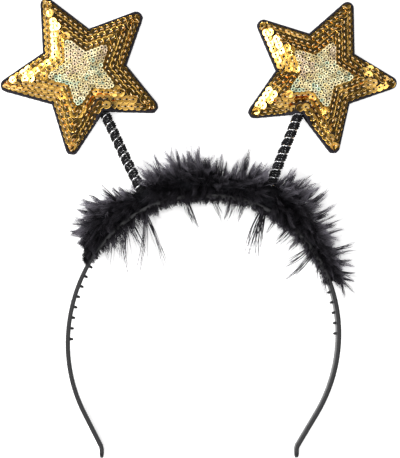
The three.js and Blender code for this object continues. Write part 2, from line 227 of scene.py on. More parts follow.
class Finish:
    def __init__(self, name, **constants):
        self.material = bpy.data.materials.new(name)
        self.material.use_nodes = True
        self.tree = self.material.node_tree
        self.shader = self.tree.nodes["Principled BSDF"]
        for socket, value in constants.items():
            self.shader.inputs[socket.replace("_", " ")].default_value = value

    def node(self, kind, settings=None, sockets=None, output=0):
        made = self.tree.nodes.new(kind)
        for key, value in (settings or {}).items():
            if key == "stops":
                self.set_stops(made.color_ramp, value)
            else:
                setattr(made, key, value)
        for key, value in (sockets or {}).items():
            self.feed(made.inputs[key], value)
        return Socket(self, made.outputs[output])

    def feed(self, target, value):
        if isinstance(value, Socket):
            self.tree.links.new(value.socket, target)
        else:
            target.default_value = value

    def set_stops(self, ramp, stops):
        while len(ramp.elements) < len(stops):
            ramp.elements.new(0.5)
        for element, (place, colour) in zip(ramp.elements, stops):
            element.position = place
            element.color = (*colour, 1.0)

    def noise(self, scale, detail, where=None):
        place = where or self.node("ShaderNodeTexCoord", output=3)
        sockets = {"Vector": place, "Scale": scale, "Detail": detail}
        return self.node("ShaderNodeTexNoise", sockets=sockets)

    def ramp(self, value, stops):
        return self.node("ShaderNodeValToRGB", {"stops": stops}, {"Fac": value})

    def bump(self, height, distance):
        sockets = {"Height": height, "Distance": distance, "Strength": 1.0}
        self.feed(self.shader.inputs["Normal"], self.node("ShaderNodeBump", sockets=sockets))

    def paint(self, colour, roughness, metallic=None, coat=None):
        values = {"Base Color": colour, "Roughness": roughness, "Metallic": metallic, "Coat Weight": coat}
        for name, value in values.items():
            if value is not None:
                self.feed(self.shader.inputs[name], value)


def grained(name, noise, bump, stops, rough, **constants):
    """A finish from one noise: scale and detail, bump, colours, and the least and the added roughness."""
    finish = Finish(name, **constants)
    grain = finish.noise(*noise)
    if bump:
        finish.bump(grain, bump)
    finish.paint(finish.ramp(grain, stops), rough[0] + rough[1] * grain)
    return finish.material


# %% [markdown]
# ## The band
#
# The band is one strip of springy black plastic. From the crown it follows half an ellipse, then each leg
# leans in on a wide arc, runs straight, and turns down again at the tip. The two legs differ a little,
# because the plastic has taken a set. The line is laid out as points with their distance from the crown,
# so that anything that sits on the band can ask where it is at a given distance.

# %% Middle line of the band
# how far out and how far down each leg is widest, how it leans in, in degrees, and its straight stretch
LEGS = {-1: (64.8, 71.5, 26.5, 17.6), 1: (64.4, 67.8, 30.6, 17.6)}
CROWN_FLAT, LEG_ARC, TIP_BEND = 2.6, 74.0, 4.0
HALF_THICK = 1.0


def leg_line(half, drop, lean_deg, straight):
    lean = math.radians(lean_deg)
    sweep = np.linspace(math.pi / 2, 0, 240)
    wide, tall = half - CROWN_FLAT, drop - HALF_THICK
    ellipse = np.column_stack([CROWN_FLAT + wide * np.cos(sweep), tall * np.sin(sweep) - drop])
    turn = np.linspace(0, lean, 60)[1:]
    arc = np.column_stack([half - LEG_ARC + LEG_ARC * np.cos(turn), -drop - LEG_ARC * np.sin(turn)])
    along = np.array([-math.sin(lean), -math.cos(lean)])
    out = np.array([math.cos(lean), -math.sin(lean)])
    bend_middle = arc[-1] + straight * along + TIP_BEND * out
    turn = np.linspace(math.pi - lean, math.pi, 20)
    bend = bend_middle + TIP_BEND * np.column_stack([np.cos(turn), np.sin(turn)])
    tip = bend[-1:] - [[0, TIP_BEND]]
    return np.concatenate([[[0, -HALF_THICK]], ellipse, arc, bend, tip])


lines, reach = {}, {}
for side, sizes in LEGS.items():
    leg = leg_line(*sizes) * [side, 1]
    lengths = distances(leg)
    lines[side] = (side * lengths, leg)
    reach[side] = lengths[-1]
band_run = np.concatenate([lines[-1][0][:0:-1], lines[1][0]])
band_line = np.concatenate([lines[-1][1][:0:-1], lines[1][1]])
lowest_tip = band_line[:, 1].min()
print("legs of the band:", {s: round(r, 1) for s, r in reach.items()}, "mm")

# %% Where the band is at a distance from the crown
CROWN_HEIGHT, TIP_HEIGHT = 10.0, 2.5
CROWN_DEPTH, TIP_DEPTH = 8.0, 5.0


def band_at(distance):
    """Middle of the band, the way out of it, and its depth, at distances from the crown."""
    d = np.atleast_1d(np.asarray(distance, float))

    def spot(at):
        return np.column_stack([np.interp(at, band_run, band_line[:, k]) for k in (0, 1)])

    ahead = unit(spot(np.minimum(d + 0.4, reach[1])) - spot(np.maximum(d - 0.4, -reach[-1])))
    flat = spot(d)
    rise = TIP_HEIGHT + (CROWN_HEIGHT - TIP_HEIGHT) * (flat[:, 1] - lowest_tip) / -lowest_tip
    out = np.column_stack([-ahead[:, 1], ahead[:, 0], np.zeros(len(d))])
    leg = np.where(d < 0, reach[-1], reach[1])
    depth = CROWN_DEPTH - (CROWN_DEPTH - TIP_DEPTH) * smooth_step((np.abs(d) / leg - 0.45) / 0.5)
    return np.column_stack([flat, rise]), out, depth


# %% [markdown]
# The section of the band is a flat bar with soft edges, moulded in one shot. It is swept along the line in
# steps of a millimetre and a half, and drawn to a rounded tongue at each tip. The comb teeth that grip the
# hair are small round pegs on the inner face, one to each pitch, and the last stretch of a leg has none.

# %% Sweep the band and set its teeth
CORNER, TONGUE = 0.5, 2.5
TOOTH_PITCH, TEETH_ON_A_LEG = 5.2, 20
# radius and distance from the middle of the band, from the root of a tooth to its tip
TOOTH = [(0.95, 0.75), (0.74, 1.0), (0.66, 1.4), (0.62, 1.9), (0.5, 2.3), (0.28, 2.52)]
TOOTH_TIP, TOOTH_SIDES = 2.58, 10


def band_section(half_depth, half_thickness):
    turn = np.radians(np.arange(0, 360, 18) + 9)
    quarter = np.sign(np.column_stack([np.cos(turn), np.sin(turn)]))
    inner = quarter * np.stack([half_thickness - CORNER, half_depth - CORNER], axis=-1)[:, None]
    return inner + CORNER * np.column_stack([np.cos(turn), np.sin(turn)])


def swept_band():
    steps = np.linspace(-reach[-1], reach[1], 232)
    near = np.array([0, 0.15, 0.5, 1.0, 1.7, TONGUE])
    d = np.unique(np.concatenate([steps[2:-2], near - reach[-1], reach[1] - near]))
    middle, out, depth = band_at(d)
    to_tip = np.minimum(d + reach[-1], reach[1] - d)
    tongue = np.sqrt(1 - np.clip(1 - to_tip / TONGUE, 0, 0.96) ** 2)
    section = band_section(np.maximum(depth / 2 * tongue, 0.62), 0.55 + 0.45 * tongue)
    rings = middle[:, None] + section[..., :1] * out[:, None]
    rings[..., 2] += section[..., 1]
    return closed(rings, middle[[0, -1]], flip=True)


def comb_tooth(distance):
    middle, out, _ = (value[0] for value in band_at(distance))
    turn = full_turn(TOOTH_SIDES)[:, None]
    round_it = np.cos(turn) * np.cross(out, UP) + np.sin(turn) * UP
    rings = np.stack([middle - out * h + r * round_it for r, h in TOOTH])
    points = np.concatenate([rings.reshape(-1, 3), [middle - out * TOOTH_TIP]])
    count = len(TOOTH) * TOOTH_SIDES
    cap = fan(count - TOOTH_SIDES, TOOTH_SIDES, count, True)
    return points, net(len(TOOTH), TOOTH_SIDES)[:, ::-1], cap


tooth_places = []
for side, length in reach.items():
    toothed = length - CROWN_FLAT
    pitch = toothed / round(toothed / TOOTH_PITCH)
    tooth_places += [side * (CROWN_FLAT + (i + 0.5) * pitch) for i in range(TEETH_ON_A_LEG)]
print(len(tooth_places), "teeth")

# %% Satin black plastic
plastic = Finish("band_plastic", Specular_IOR_Level=0.3)
cloudy = plastic.noise(60.0, 4.0)
grain = plastic.noise(2400.0, 2.0)
plastic.bump(grain + 0.6 * cloudy, 0.00004)
plastic_colour = plastic.ramp(cloudy, [(0.3, (0.010, 0.010, 0.011)), (0.7, (0.018, 0.018, 0.020))])
plastic.paint(plastic_colour, 0.3 + 0.16 * cloudy)

points, faces = join([swept_band()] + [comb_tooth(d) for d in tooth_places])
new_piece("band_moulding", points, faces, plastic.material, ["band"])

# %% [markdown]
# ## The springs
#
# Each star bobs on a soft spring: a bright steel wire coiled together with a black cord, so that the
# wire shows as a silver line between the turns of cord. The cord is three strands wide and every strand is
# twisted from two plies. The plies are drawn as round tubes on a coil, because their shadows are what makes
# a cord look like a cord.

# %% Where the springs run
# the middle of each star, its turn in degrees, its share of full size, the distance along the band of its
# spring's foot, and how far the spring goes in beside the notch
STARS = {
    "left": {"at": (-57.8, 57.9), "turn": 27.9, "size": 1.0, "foot": -27.3, "aside": 0.0},
    "right": {"at": (55.1, 57.2), "turn": -23.8, "size": 0.968, "foot": 27.9, "aside": -1.2},
}
# of a full star: its middle to a point, to a notch, and the rounding of a point
TIP, NOTCH, BLUNT = 44.0, 21.2, 3.2
COIL_PITCH, COIL_RADIUS, WIRE_RADIUS = 4.15, 2.15, 0.32
STRAND_STEP, PLY_RADIUS, PLY_TURN = 1.12, 0.34, 0.78
FOOT_OFF, MOUTH_HEIGHT, INSIDE_STAR = 1.6, 4.55, 4.5


def turned(star, points):
    """Points of an upright star, put where the star lies."""
    a = math.radians(star["turn"])
    spin = np.array([[math.cos(a), math.sin(a), 0], [-math.sin(a), math.cos(a), 0], [0, 0, 1]])
    return points @ spin + np.array([*star["at"], 0.0])


def spring_axis(star):
    middle, out, _ = (value[0] for value in band_at(star["foot"]))
    start = middle + FOOT_OFF * out
    mouth = turned(star, np.array([[star["aside"], -NOTCH * star["size"], MOUTH_HEIGHT]]))[0]
    way = mouth - start
    length = np.linalg.norm(way) + INSIDE_STAR
    way = way / np.linalg.norm(way)
    across = unit(np.cross(way, UP))
    return start, way, across, np.cross(way, across), length


def coil(axis, radius, run, phase=0.0):
    """A line wound round the axis of a spring, at distances along it."""
    start, way, across, over, _ = axis
    turn = 2 * math.pi * (run - phase) / COIL_PITCH
    ring = np.cos(turn)[:, None] * across + np.sin(turn)[:, None] * over
    return start + run[:, None] * way + np.asarray(radius)[..., None] * ring


# %% Wind the wire and the cord
# how far from the ends of a spring its wire and cord stop, the steps in one turn, and the sides of a strand
WIRE_END, WIRE_STEPS, WIRE_SIDES = 0.6, 28, 9
CORD_END, CORD_STEPS, PLY_SIDES = 1.6, 40, 6
CORD_RADIUS, PLY_OFFSET = 2.18, 0.2


def wound_wire(axis):
    _, way, _, _, length = axis
    run = np.linspace(WIRE_END, length - WIRE_END, int(WIRE_STEPS * length / COIL_PITCH))
    line = coil(axis, COIL_RADIUS, run, COIL_PITCH / 2)
    return tube(line, WIRE_RADIUS, WIRE_SIDES, way)


def wound_cord(axis):
    shapes = []
    _, way, _, _, length = axis
    run = np.linspace(CORD_END, length - CORD_END, int(CORD_STEPS * length / COIL_PITCH))
    for strand in (-1, 0, 1):
        wave = 0.08 * np.sin(run * 1.7 + strand) + 0.06 * np.sin(run * 4.3 + 2 * strand)
        for ply in (0, math.pi):
            twist = 2 * math.pi * run / PLY_TURN + ply + strand
            radius = CORD_RADIUS - 0.14 * abs(strand) + wave + PLY_OFFSET * np.cos(twist)
            beside = STRAND_STEP * strand + PLY_OFFSET * np.sin(twist)
            line = coil(axis, radius, run) + beside[:, None] * way
            shapes.append(tube(line, PLY_RADIUS, PLY_SIDES, way))
    return join(shapes)


# %% Bright wire and black cord
greys = [(0.3, (0.74, 0.74, 0.77)), (0.7, (0.88, 0.88, 0.9))]
steel = grained("spring_steel", (900.0, 2.0), None, greys, (0.14, 0.16), Metallic=1.0)
blacks = [(0.3, (0.006, 0.006, 0.007)), (0.75, (0.022, 0.022, 0.024))]
cord = grained("cord_black", (1500.0, 3.0), 0.00008, blacks, (0.55, 0.25), Specular_IOR_Level=0.12)

for name, star in STARS.items():
    axis = spring_axis(star)
    points, quads, ends = wound_wire(axis)
    node = [f"spring_wire_{name}"]
    new_piece(f"wire_coil_{name}", points, [quads, ends], steel, node)
    points, faces = wound_cord(axis)
    node = [f"spring_cord_{name}"]
    new_piece(f"wound_cord_{name}", points, faces, cord, node)
    print("spring", name, "is", round(axis[4], 1), "mm long")

# %% [markdown]
# ## The stars
#
# A star is a felt back, a padded front and a bound edge. All of its outlines are the same star at another
# share of its size, so one function draws them all. The points of the star are a little blunt. Lines further
# in keep an even distance from the edge, as stitched rows do, so their points are sharper.

# %% One star outline for everything
ARM_NORMAL = math.atan2(TIP - NOTCH * math.cos(math.pi / 5), NOTCH * math.sin(math.pi / 5))
EDGE = TIP * math.cos(ARM_NORMAL)
MOUTH_LIFT = 6.0


def star_corners(share):
    """The outline of an upright star at a share of its size, as corners and rounded tips."""
    blunt = max(BLUNT - (1 - share) * EDGE, min(0.9, 6 * share))
    turn = np.linspace(-ARM_NORMAL, ARM_NORMAL, 17)
    heart = share * TIP - blunt / math.cos(ARM_NORMAL)
    round_tip = np.column_stack([heart + blunt * np.cos(turn), blunt * np.sin(turn)])
    notch = share * NOTCH * np.array([[math.cos(math.pi / 5), -math.sin(math.pi / 5)]])
    arm = np.concatenate([notch, round_tip])
    arms = []
    for a in math.radians(-54) + np.arange(5) * 2 * math.pi / 5:
        arms.append(arm @ np.array([[math.cos(a), math.sin(a)], [-math.sin(a), math.cos(a)]]))
    return np.concatenate(arms + [arms[0][:1]])


def star_outline(count, share=1.0):
    """Points spaced evenly round such an outline, from the notch where the spring goes in."""
    corners = star_corners(share)
    run = distances(corners)
    at = np.linspace(0, run[-1], count, endpoint=False)
    return np.column_stack([np.interp(at, run, corners[:, k]) for k in (0, 1)]), at, run[-1]


def mouth_lift(at, whole):
    """How far the front is raised over the spring, by distance along the edge from the notch."""
    away = np.minimum(at, whole - at)
    return MOUTH_LIFT * np.interp(away, [0, 2.0, 4.2, 6.3, 8.5], [1, 0.96, 0.85, 0.4, 0])


_, _, perimeter = star_outline(100)
print("edge of a star:", round(perimeter, 1), "mm, flat sides", round(EDGE, 1), "mm from its middle")

# %% [markdown]
# The back is a star cut from black felt, a millimetre and a half thick. Felt has no weave: its surface is a
# mat of short fibres. The cut edge is slightly round and uneven, so the outline is moved by a little noise,
# and loose fibres are left to a bump and to a soft sheen. It is a sheet stretched under its pad, so its flat
# size is printed with it.

# %% Felt back
FELT, FELT_POINTS = 1.5, 400
# share of the star and height, from the underside round the cut edge to the top
FELT_ROWS = [(0.25, 0), (0.5, 0), (0.75, 0), (0.93, 0), (0.985, 0.06), (1.0, 0.4), (1.002, 0.75), (1.0, 1.1)]
FELT_ROWS += [(0.985, 1.44), (0.93, FELT), (0.75, FELT), (0.5, FELT), (0.25, FELT)]


def felt_back(star):
    edge, at, _ = star_outline(FELT_POINTS)
    wave = 0.0025 * np.sin(at * 1.9) + 0.002 * np.sin(at * 4.7 + 1)
    uneven = wave + rng.normal(0, 0.0012, len(at))
    rings = []
    for share, z in FELT_ROWS:
        flat = edge * (share * star["size"] * (1 + uneven * share**6))[:, None]
        rings.append(np.column_stack([flat, np.full(len(edge), z)]))
    points, quads, ends = closed(np.stack(rings), [[0, 0, 0], [0, 0, FELT]])
    return turned(star, points), quads, ends


felt = Finish("felt_black", Specular_IOR_Level=0.1, Sheen_Weight=0.08, Sheen_Roughness=0.5)
mat_fibre = felt.noise(1100.0, 6.0)
mat_cloud = felt.noise(140.0, 3.0)
felt.bump(mat_fibre + 0.5 * mat_cloud, 0.00025)
felt_colour = felt.ramp(mat_fibre, [(0.35, (0.005, 0.005, 0.006)), (0.7, (0.019, 0.018, 0.021))])
felt.paint(felt_colour, 0.85 + 0.12 * mat_cloud)

for name, star in STARS.items():
    points, quads, ends = felt_back(star)
    node = [f"star_back_{name}"]
    back = new_piece(f"felt_back_{name}", points, [quads, ends], felt.material, node)
    cut = star_outline(FELT_POINTS)[0] * star["size"] * MM
    after = np.roll(cut, -1, axis=0)
    area = 0.5 * abs(np.sum(cut[:, 0] * after[:, 1] - cut[:, 1] * after[:, 0]))
    width, length = np.ptp(cut, axis=0)
    cloth_size = [round(side / MM, 1) for side in (width, length)]
    print(back.name, "is cut from", cloth_size, "mm of felt and covers", round(area * 1e4, 1), "cm2")

# %% [markdown]
# The edge is bound with black overlock thread that wraps from the front to the back. Drawn thread by thread
# this would take a million faces, so the binding is one rounded roll whose radius rises and falls along the
# edge, four rings to a thread, with each ring slanted as the stitches are. At the notch it climbs over the
# spring.

# %% Overlocked edge
THREAD_PITCH, EDGE_SHARE, EDGE_HEIGHT = 0.62, 0.958, 2.55
EDGE_WIDE, EDGE_TALL, EDGE_SLANT, EDGE_SIDES = 0.78, 0.74, 0.3, 10
THREAD_RIDGE = [1.0, 0.96, 0.84, 0.96]


def bound_edge(star):
    threads = int(perimeter * star["size"] / THREAD_PITCH)
    edge, at, whole = star_outline(len(THREAD_RIDGE) * threads, EDGE_SHARE)
    lift = mouth_lift(at, whole)
    ridge = np.tile(THREAD_RIDGE, threads) * (1 + rng.normal(0, 0.012, len(at)))
    centre = np.column_stack([edge * star["size"], EDGE_HEIGHT + lift])
    ahead = unit(np.roll(centre, -1, axis=0) - np.roll(centre, 1, axis=0))
    outward = unit(np.cross(ahead, UP))
    turn = full_turn(EDGE_SIDES)[None, :, None]
    sideways = EDGE_WIDE * np.cos(turn) * outward[:, None]
    updown = EDGE_TALL * np.sin(turn) * np.cross(ahead, outward)[:, None]
    slant = EDGE_SLANT * np.cos(turn) * ahead[:, None]
    rings = centre[:, None] + ridge[:, None, None] * (sideways + updown) + slant
    first = np.arange(EDGE_SIDES)
    last = (len(at) - 1) * EDGE_SIDES + first
    close = np.stack([last, np.roll(last, -1), np.roll(first, -1), first], axis=-1)
    return turned(star, rings.reshape(-1, 3)), np.concatenate([net(len(at), EDGE_SIDES), close])


blacks = [(0.3, (0.009, 0.008, 0.011)), (0.75, (0.034, 0.031, 0.040))]
sheen = {"Specular_IOR_Level": 0.15, "Sheen_Weight": 0.04, "Sheen_Roughness": 0.4}
binding = grained("edging_black", (1300.0, 4.0), 0.0001, blacks, (0.6, 0.25), **sheen)

for name, star in STARS.items():
    points, quads = bound_edge(star)
    node = [f"star_edging_{name}"]
    new_piece(f"bound_edge_{name}", points, [quads], binding, node)

# %% [markdown]
# Under the sequins is a pad: dark cloth drawn over stuffing. It rises steeply from the edge and flattens
# towards the middle, with a ridge along each arm and a valley to each notch. The form is laid out from the
# outline, and then a short cloth simulation with a little air pressure lets the cloth settle over the
# stuffing, as a needle worker's hand would. The movement is capped so that the star keeps its size.

# %% Lay out the pad
# share of the star and height of the cloth there, from the middle to the edge
PAD_SHARE = [0.0, 0.1, 0.2, 0.3, 0.425, 0.465, 0.52, 0.575, 0.63, 0.685, 0.74, 0.795, 0.845, 0.89, 0.915]
PAD_RISE = [8.1, 8.05, 7.9, 7.65, 7.2, 6.95, 6.5, 6.0, 5.4, 4.75, 4.0, 3.2, 2.3, 1.45, 1.0]
PAD_BASE, PAD_POINTS = 1.8, 200


def pad_ring(star, share, rise, lifted):
    edge, at, whole = star_outline(PAD_POINTS, share)
    return np.column_stack([edge * star["size"], PAD_BASE + rise + lifted * mouth_lift(at, whole)])


def pad_form(star):
    rings = [pad_ring(star, PAD_SHARE[-1], 0.0, 0.9)]
    for share, rise in zip(PAD_SHARE[:0:-1], PAD_RISE[:0:-1]):
        rings.append(pad_ring(star, share, rise, smooth_step((share - 0.55) / 0.3)))
    points = np.concatenate(rings + [[[0, 0, PAD_BASE + PAD_RISE[0]]], [[0, 0, PAD_BASE]]])
    count = len(rings) * PAD_POINTS
    ends = [fan(count - PAD_POINTS, PAD_POINTS, count), fan(0, PAD_POINTS, count + 1, True)]
    return turned(star, points), net(len(rings), PAD_POINTS), np.concatenate(ends)


# %% Let the cloth settle
SEWN_BELOW, CLOTH_STEPS, MOST_MOVE = 3.2, 12, 0.35


def settle_cloth(piece, frames, most):
    """A short cloth run with air inside. No point of the piece moves by more than the given millimetres."""
    count = len(piece.data.vertices)
    before = np.zeros(count * 3, np.float32)
    piece.data.vertices.foreach_get("co", before)
    held = piece.vertex_groups.new(name="sewn")
    heights = before.reshape(-1, 3)[:, 2]
    held.add([int(i) for i in np.nonzero(heights < SEWN_BELOW * MM)[0]], 1.0, "REPLACE")
    cloth = piece.modifiers.new("settle", "CLOTH")
    cloth.settings.quality = 5
    cloth.settings.mass = 0.05
    cloth.settings.tension_stiffness = 20
    cloth.settings.compression_stiffness = 20
    cloth.settings.bending_stiffness = 0.4
    cloth.settings.vertex_group_mass = "sewn"
    cloth.settings.use_pressure = True
    cloth.settings.uniform_pressure_force = 4.0
    cloth.settings.effector_weights.gravity = 0.0
    cloth.point_cache.frame_start = 1
    cloth.point_cache.frame_end = frames
    for number in range(1, frames + 1):
        bpy.context.scene.frame_set(number)
    seen = piece.evaluated_get(bpy.context.evaluated_depsgraph_get()).data
    after = np.zeros(count * 3, np.float32)
    seen.vertices.foreach_get("co", after)
    piece.modifiers.remove(cloth)
    piece.vertex_groups.clear()
    bpy.context.scene.frame_set(1)
    move = (after - before).reshape(-1, 3)
    size = np.linalg.norm(move, axis=1, keepdims=True)
    move *= np.minimum(1.0, most * MM / np.maximum(size, 1e-9))
    piece.data.vertices.foreach_set("co", (before.reshape(-1, 3) + move).ravel())
    piece.data.update()
    print(piece.name, "settled by up to", round(float(size.max()) / MM, 2), "mm, kept under", most)


browns = [(0.3, (0.016, 0.010, 0.004)), (0.7, (0.05, 0.03, 0.010))]
sheen = {"Specular_IOR_Level": 0.25, "Sheen_Weight": 0.1}
pad_cloth = grained("pad_cloth", (1400.0, 2.0), 0.0001, browns, (0.8, 0.1), **sheen)

pads = {}
for name, star in STARS.items():
    points, quads, ends = pad_form(star)
    node = [f"star_front_{name}", f"star_inset_{name}"]
    pads[name] = new_piece(f"pad_{name}", points, [quads, ends], pad_cloth, node)
    settle_cloth(pads[name], CLOTH_STEPS, MOST_MOVE)

# %% [markdown]
# ## The sequins
#
# The sequins are punched from metallic film, with a turned-up rim and a hole in the middle, and they come
# strung in chains where each one lies over the next. Three chains of gold run round the star, with odd ones
# on the arms where the chains leave gaps, and pale ones with a rainbow film fill its middle. Instances of
# one disc would be lighter, but each sequin needs a colour of its own, so the discs are joined in one mesh.
# A round thread is stitched from every hole to the rim.

# %% One sequin and where the sequins sit
FILM, LINE_POINTS = 0.1, 2000


def sequin_shape(radius, hole, sides=16):
    """A slightly hollow disc, with a knot of thread sunk in its hole that is coloured with painted shade."""
    hollow = 0.02 * radius
    rings = [(hole, 0.03), (hole, FILM), (0.62 * radius, FILM + 0.35 * hollow)]
    rings += [(radius - 0.15, FILM + hollow), (radius, FILM + hollow + 0.06), (radius, hollow + 0.02)]
    turn = full_turn(sides)
    points = [np.column_stack([r * np.cos(turn), r * np.sin(turn), np.full(sides, z)]) for r, z in rings]
    points = np.concatenate(points + [[[0, 0, 0.03]], [[0, 0, 0.0]]])
    count = len(rings) * sides
    ends = [fan(0, sides, count), fan(count - sides, sides, count + 1, True)]
    across = [0.5 * hole / radius, *(r / radius for r, _ in rings[1:])]
    chart = np.stack(np.meshgrid(across, turn / (2 * math.pi), indexing="ij"), axis=-1).reshape(-1, 2)
    chart = np.concatenate([chart, [[0.0, 0.5]], [[0.8, 0.5]]])
    return points, net(len(rings), sides)[:, ::-1], np.concatenate(ends), chart


def stitch_shape(radius, thick):
    """The thread that comes up through the hole and runs forward to the rim."""
    share = np.array([0.24, 0.34, 0.5, 0.72, 0.92])
    height = FILM + np.array([-0.4, 0.3, 0.45, 0.45, 0.3]) * thick
    line = np.column_stack([share * radius, np.zeros(5), height])
    return tube(line, thick / 2, 6, UP)


def chain_places(star, share, spacing, shift):
    """Spots along one chain in the plane of the star, with the way that it runs. No pitch: tips only."""
    line, _, whole = star_outline(LINE_POINTS, share)
    line = line * star["size"]
    if spacing is None:
        tips = np.arange(LINE_POINTS // 10, LINE_POINTS, LINE_POINTS // 5)
        at = tips + rng.choice([-1, 1], 5) * round(0.8 / whole * LINE_POINTS)
    else:
        count = 10 * max(1, round(whole * star["size"] / 10 / spacing))
        at = np.round((np.arange(count) + shift) / count * LINE_POINTS).astype(int)
    way = line[(at + 8) % LINE_POINTS] - line[at - 8]
    return line[at], unit(way)


def surface(pad):
    mesh = pad.data
    corners = [v.co.copy() for v in mesh.vertices]
    return BVHTree.FromPolygons(corners, [p.vertices[:] for p in mesh.polygons])


# %% [markdown]
# How a sequin shines depends on the way it faces. A chain pulls its sequins to face out from it, a good
# deal more than the slope of the pad does. The stuffing has lumps that tip some of them aside, and over the
# mouth, where the spring goes in, they lie flatter. Each one also leans back along its chain, and is loose
# by a degree or more, which makes them glitter one by one.

# %% Set chains of sequins on a pad
SLOPE_SHARE, SEAT_LIFT, MOUTH_REACH = 0.3, 0.42, 10.5


def lie_on(tree, place, outward, tilt_deg, dip):
    """Where a sequin sits on the pad, and the way it faces if its chain tilts outward by about this much."""
    spots = place + 0.5 * np.array([[0, 0, 0], [1, 0, 0], [-1, 0, 0], [0, 1, 0], [0, -1, 0]])
    hits = []
    for spot in spots:
        start = Vector(((spot + CROWN) * MM).tolist()) + Vector((0, 0, 0.05))
        hits.append(tree.ray_cast(start, Vector((0, 0, -1))))
    slope = unit(sum(np.array(hit[1]) for hit in hits if hit[0]))
    slope_deg = math.degrees(math.acos(slope[2]))
    steep = math.radians(tilt_deg) * np.clip(slope_deg / (0.8 * tilt_deg + 0.1), 0.75, 1)
    downhill = unit(slope * [1, 1, 0] + [1e-6, 0, 0])
    downhill = unit(SLOPE_SHARE * downhill + (1 - SLOPE_SHARE) * outward)
    seat = np.array(hits[0][0]) / MM - CROWN
    return seat, unit(downhill * math.sin(steep) + np.array([*dip, math.cos(steep)]))


def face_ways(up, along, lean_deg, loose_deg):
    """Forward, side and up of one sequin that leans back along its chain and is a little loose."""
    forward = unit(along - up * along.dot(up))
    lean = math.radians(lean_deg) + rng.normal(0, math.radians(loose_deg))
    roll = rng.normal(0, math.radians(loose_deg))
    side = np.cross(up, forward)
    tilted = unit(up * math.cos(lean) - forward * math.sin(lean) + side * math.sin(roll))
    forward = unit(forward - tilted * forward.dot(tilted))
    return np.stack([forward, np.cross(tilted, forward), tilted])


def dip_at(stuffing, offset):
    """How far the stuffing tips a sequin at this offset from the middle of its star."""
    dip = np.array(stuffing["dip"])
    for x, y, wide, tip in stuffing["lumps"]:
        dip = dip + np.array(tip) * math.exp(-((offset[0] - x) ** 2 + (offset[1] - y) ** 2) / wide**2)
    return dip


def set_sequins(star, stuffing, tree, chains, lean_deg, loose_deg):
    """Places and ways of all sequins. A chain has a share of the star, a pitch, a shift and a tilt."""
    seats, turns = [], []
    for share, spacing, shift, tilt_deg in chains:
        spots, ways = chain_places(star, share, spacing, shift)
        spots = spots + rng.normal(0, 0.06, spots.shape)
        for spot, way in zip(spots, ways * stuffing["strung"]):
            square = np.array([way[1], -way[0]])
            beside = spot + square * np.sign(square.dot(spot))
            place, ahead, aside = turned(star, np.array([[*at, 0.0] for at in (spot, spot + way, beside)]))
            dip = dip_at(stuffing, place - [*star["at"], 0])
            from_mouth = np.hypot(spot[0], spot[1] + NOTCH * star["size"])
            flatter = 1 - stuffing["mouth"] * math.exp(-((from_mouth / MOUTH_REACH) ** 2))
            seat, up = lie_on(tree, place, aside - place, tilt_deg * flatter, dip)
            seats.append(seat + SEAT_LIFT * up)
            turns.append(face_ways(up, ahead - place, lean_deg, loose_deg))
    return np.array(seats), np.array(turns)


def repeat_shape(shape, quads, ends, seats, turns):
    """One small shape set down many times."""
    points = np.einsum("pk,nkc->npc", shape, turns) + seats[:, None]
    starts = (np.arange(len(seats)) * len(shape))[:, None, None]
    return points.reshape(-1, 3), [(quads + starts).reshape(-1, 4), (ends + starts).reshape(-1, 3)]


# %% How the stars are stuffed and strung
# the way the chains are strung, the dip of the whole star, the tilts of the three gold rows in degrees, how
# much flatter sequins lie at the mouth, and lumps: x and y from the middle of the star, width and tip
STUFFING = {
    "left": {
        "strung": -1, "dip": (0.03, -0.08), "tilts": (38, 29.5, 21), "mouth": 0.5,
        "lumps": [(-30.0, -2.8, 7.5, (-0.02, -0.29)), (22.0, -15.0, 8, (-0.05, 0.12))],
    },
    "right": {
        "strung": 1, "dip": (-0.02, 0.02), "tilts": (37.5, 34, 29), "mouth": 0.2,
        "lumps": [
            (-26.0, -10.5, 7, (0, -0.28)), (31.5, -4.8, 4.8, (-0.2, 0.45)), (24.0, 1.1, 5.2, (-0.25, -0.55)),
            (-25.0, 18.0, 7, (0.06, 0.08)), (-18.5, 4.0, 6, (0.28, 0.12)), (1.5, -24.0, 9, (-0.1, -0.08)),
            (17.0, -5.0, 6.5, (0.24, -0.04)), (-9.5, -15.5, 6.5, (0.32, -0.05)),
            (25.0, 0.5, 3.5, (-0.1, -0.1)),
        ],
    },
}
GOLD_PITCH, PALE_PITCH = 2.93, 1.65


def gold_chains(low, middle, high):
    """Three rows of gold and the odd sequins on the arms that fill the gaps between them."""
    odd = [(0.865, None, 0, low), (0.752, None, 0, low - 3)]
    odd += [(0.59, None, 0, middle - 3), (0.445, None, 0, high)]
    rows = [(0.836, low, 0), (0.673, middle, 0.5), (0.513, high, 0.5)]
    return odd + [(share, GOLD_PITCH, shift, tilt_deg) for share, tilt_deg, shift in rows]


PALE_ROWS = [(0.38, 9, 0), (0.283, 7, 0.5), (0.186, 5, 0), (0.105, 4, 0.5), (0.054, 2, 0)]
PALE_CHAINS = [(0.33, None, 0, 9), (0.235, None, 0, 7), (0.14, None, 0, 4)]
PALE_CHAINS += [(share, PALE_PITCH, shift, tilt_deg) for share, tilt_deg, shift in PALE_ROWS]
print(len(PALE_CHAINS), "pale chains on a star")

# %% [markdown]
# The colours are read from a chart of eight by eight cells, one to a sequin. A column of cells is a tint,
# and the tints drift slowly over the star, as the rainbow on the pale film does: it is rosy at the top and
# greener further down. The row only makes a cell a little lighter or darker. In its hole a sequin turns dark
# brown: the colour of the thread and painted shade of the hole. Near its rim the film is mixed towards a rim
# colour: on the pale film a dark brown that is painted shade between the sequins, on the gold a mid gold.
# The gold is a metal under a clear coat. The pale film is a pearl: green, straw, cream and rose.

# %% Cells of the colour chart
CHART_CELLS, CELL_EDGE, RIM_SHARE = 8, 0.06, 0.78
STARS_MIDDLE = 57.5


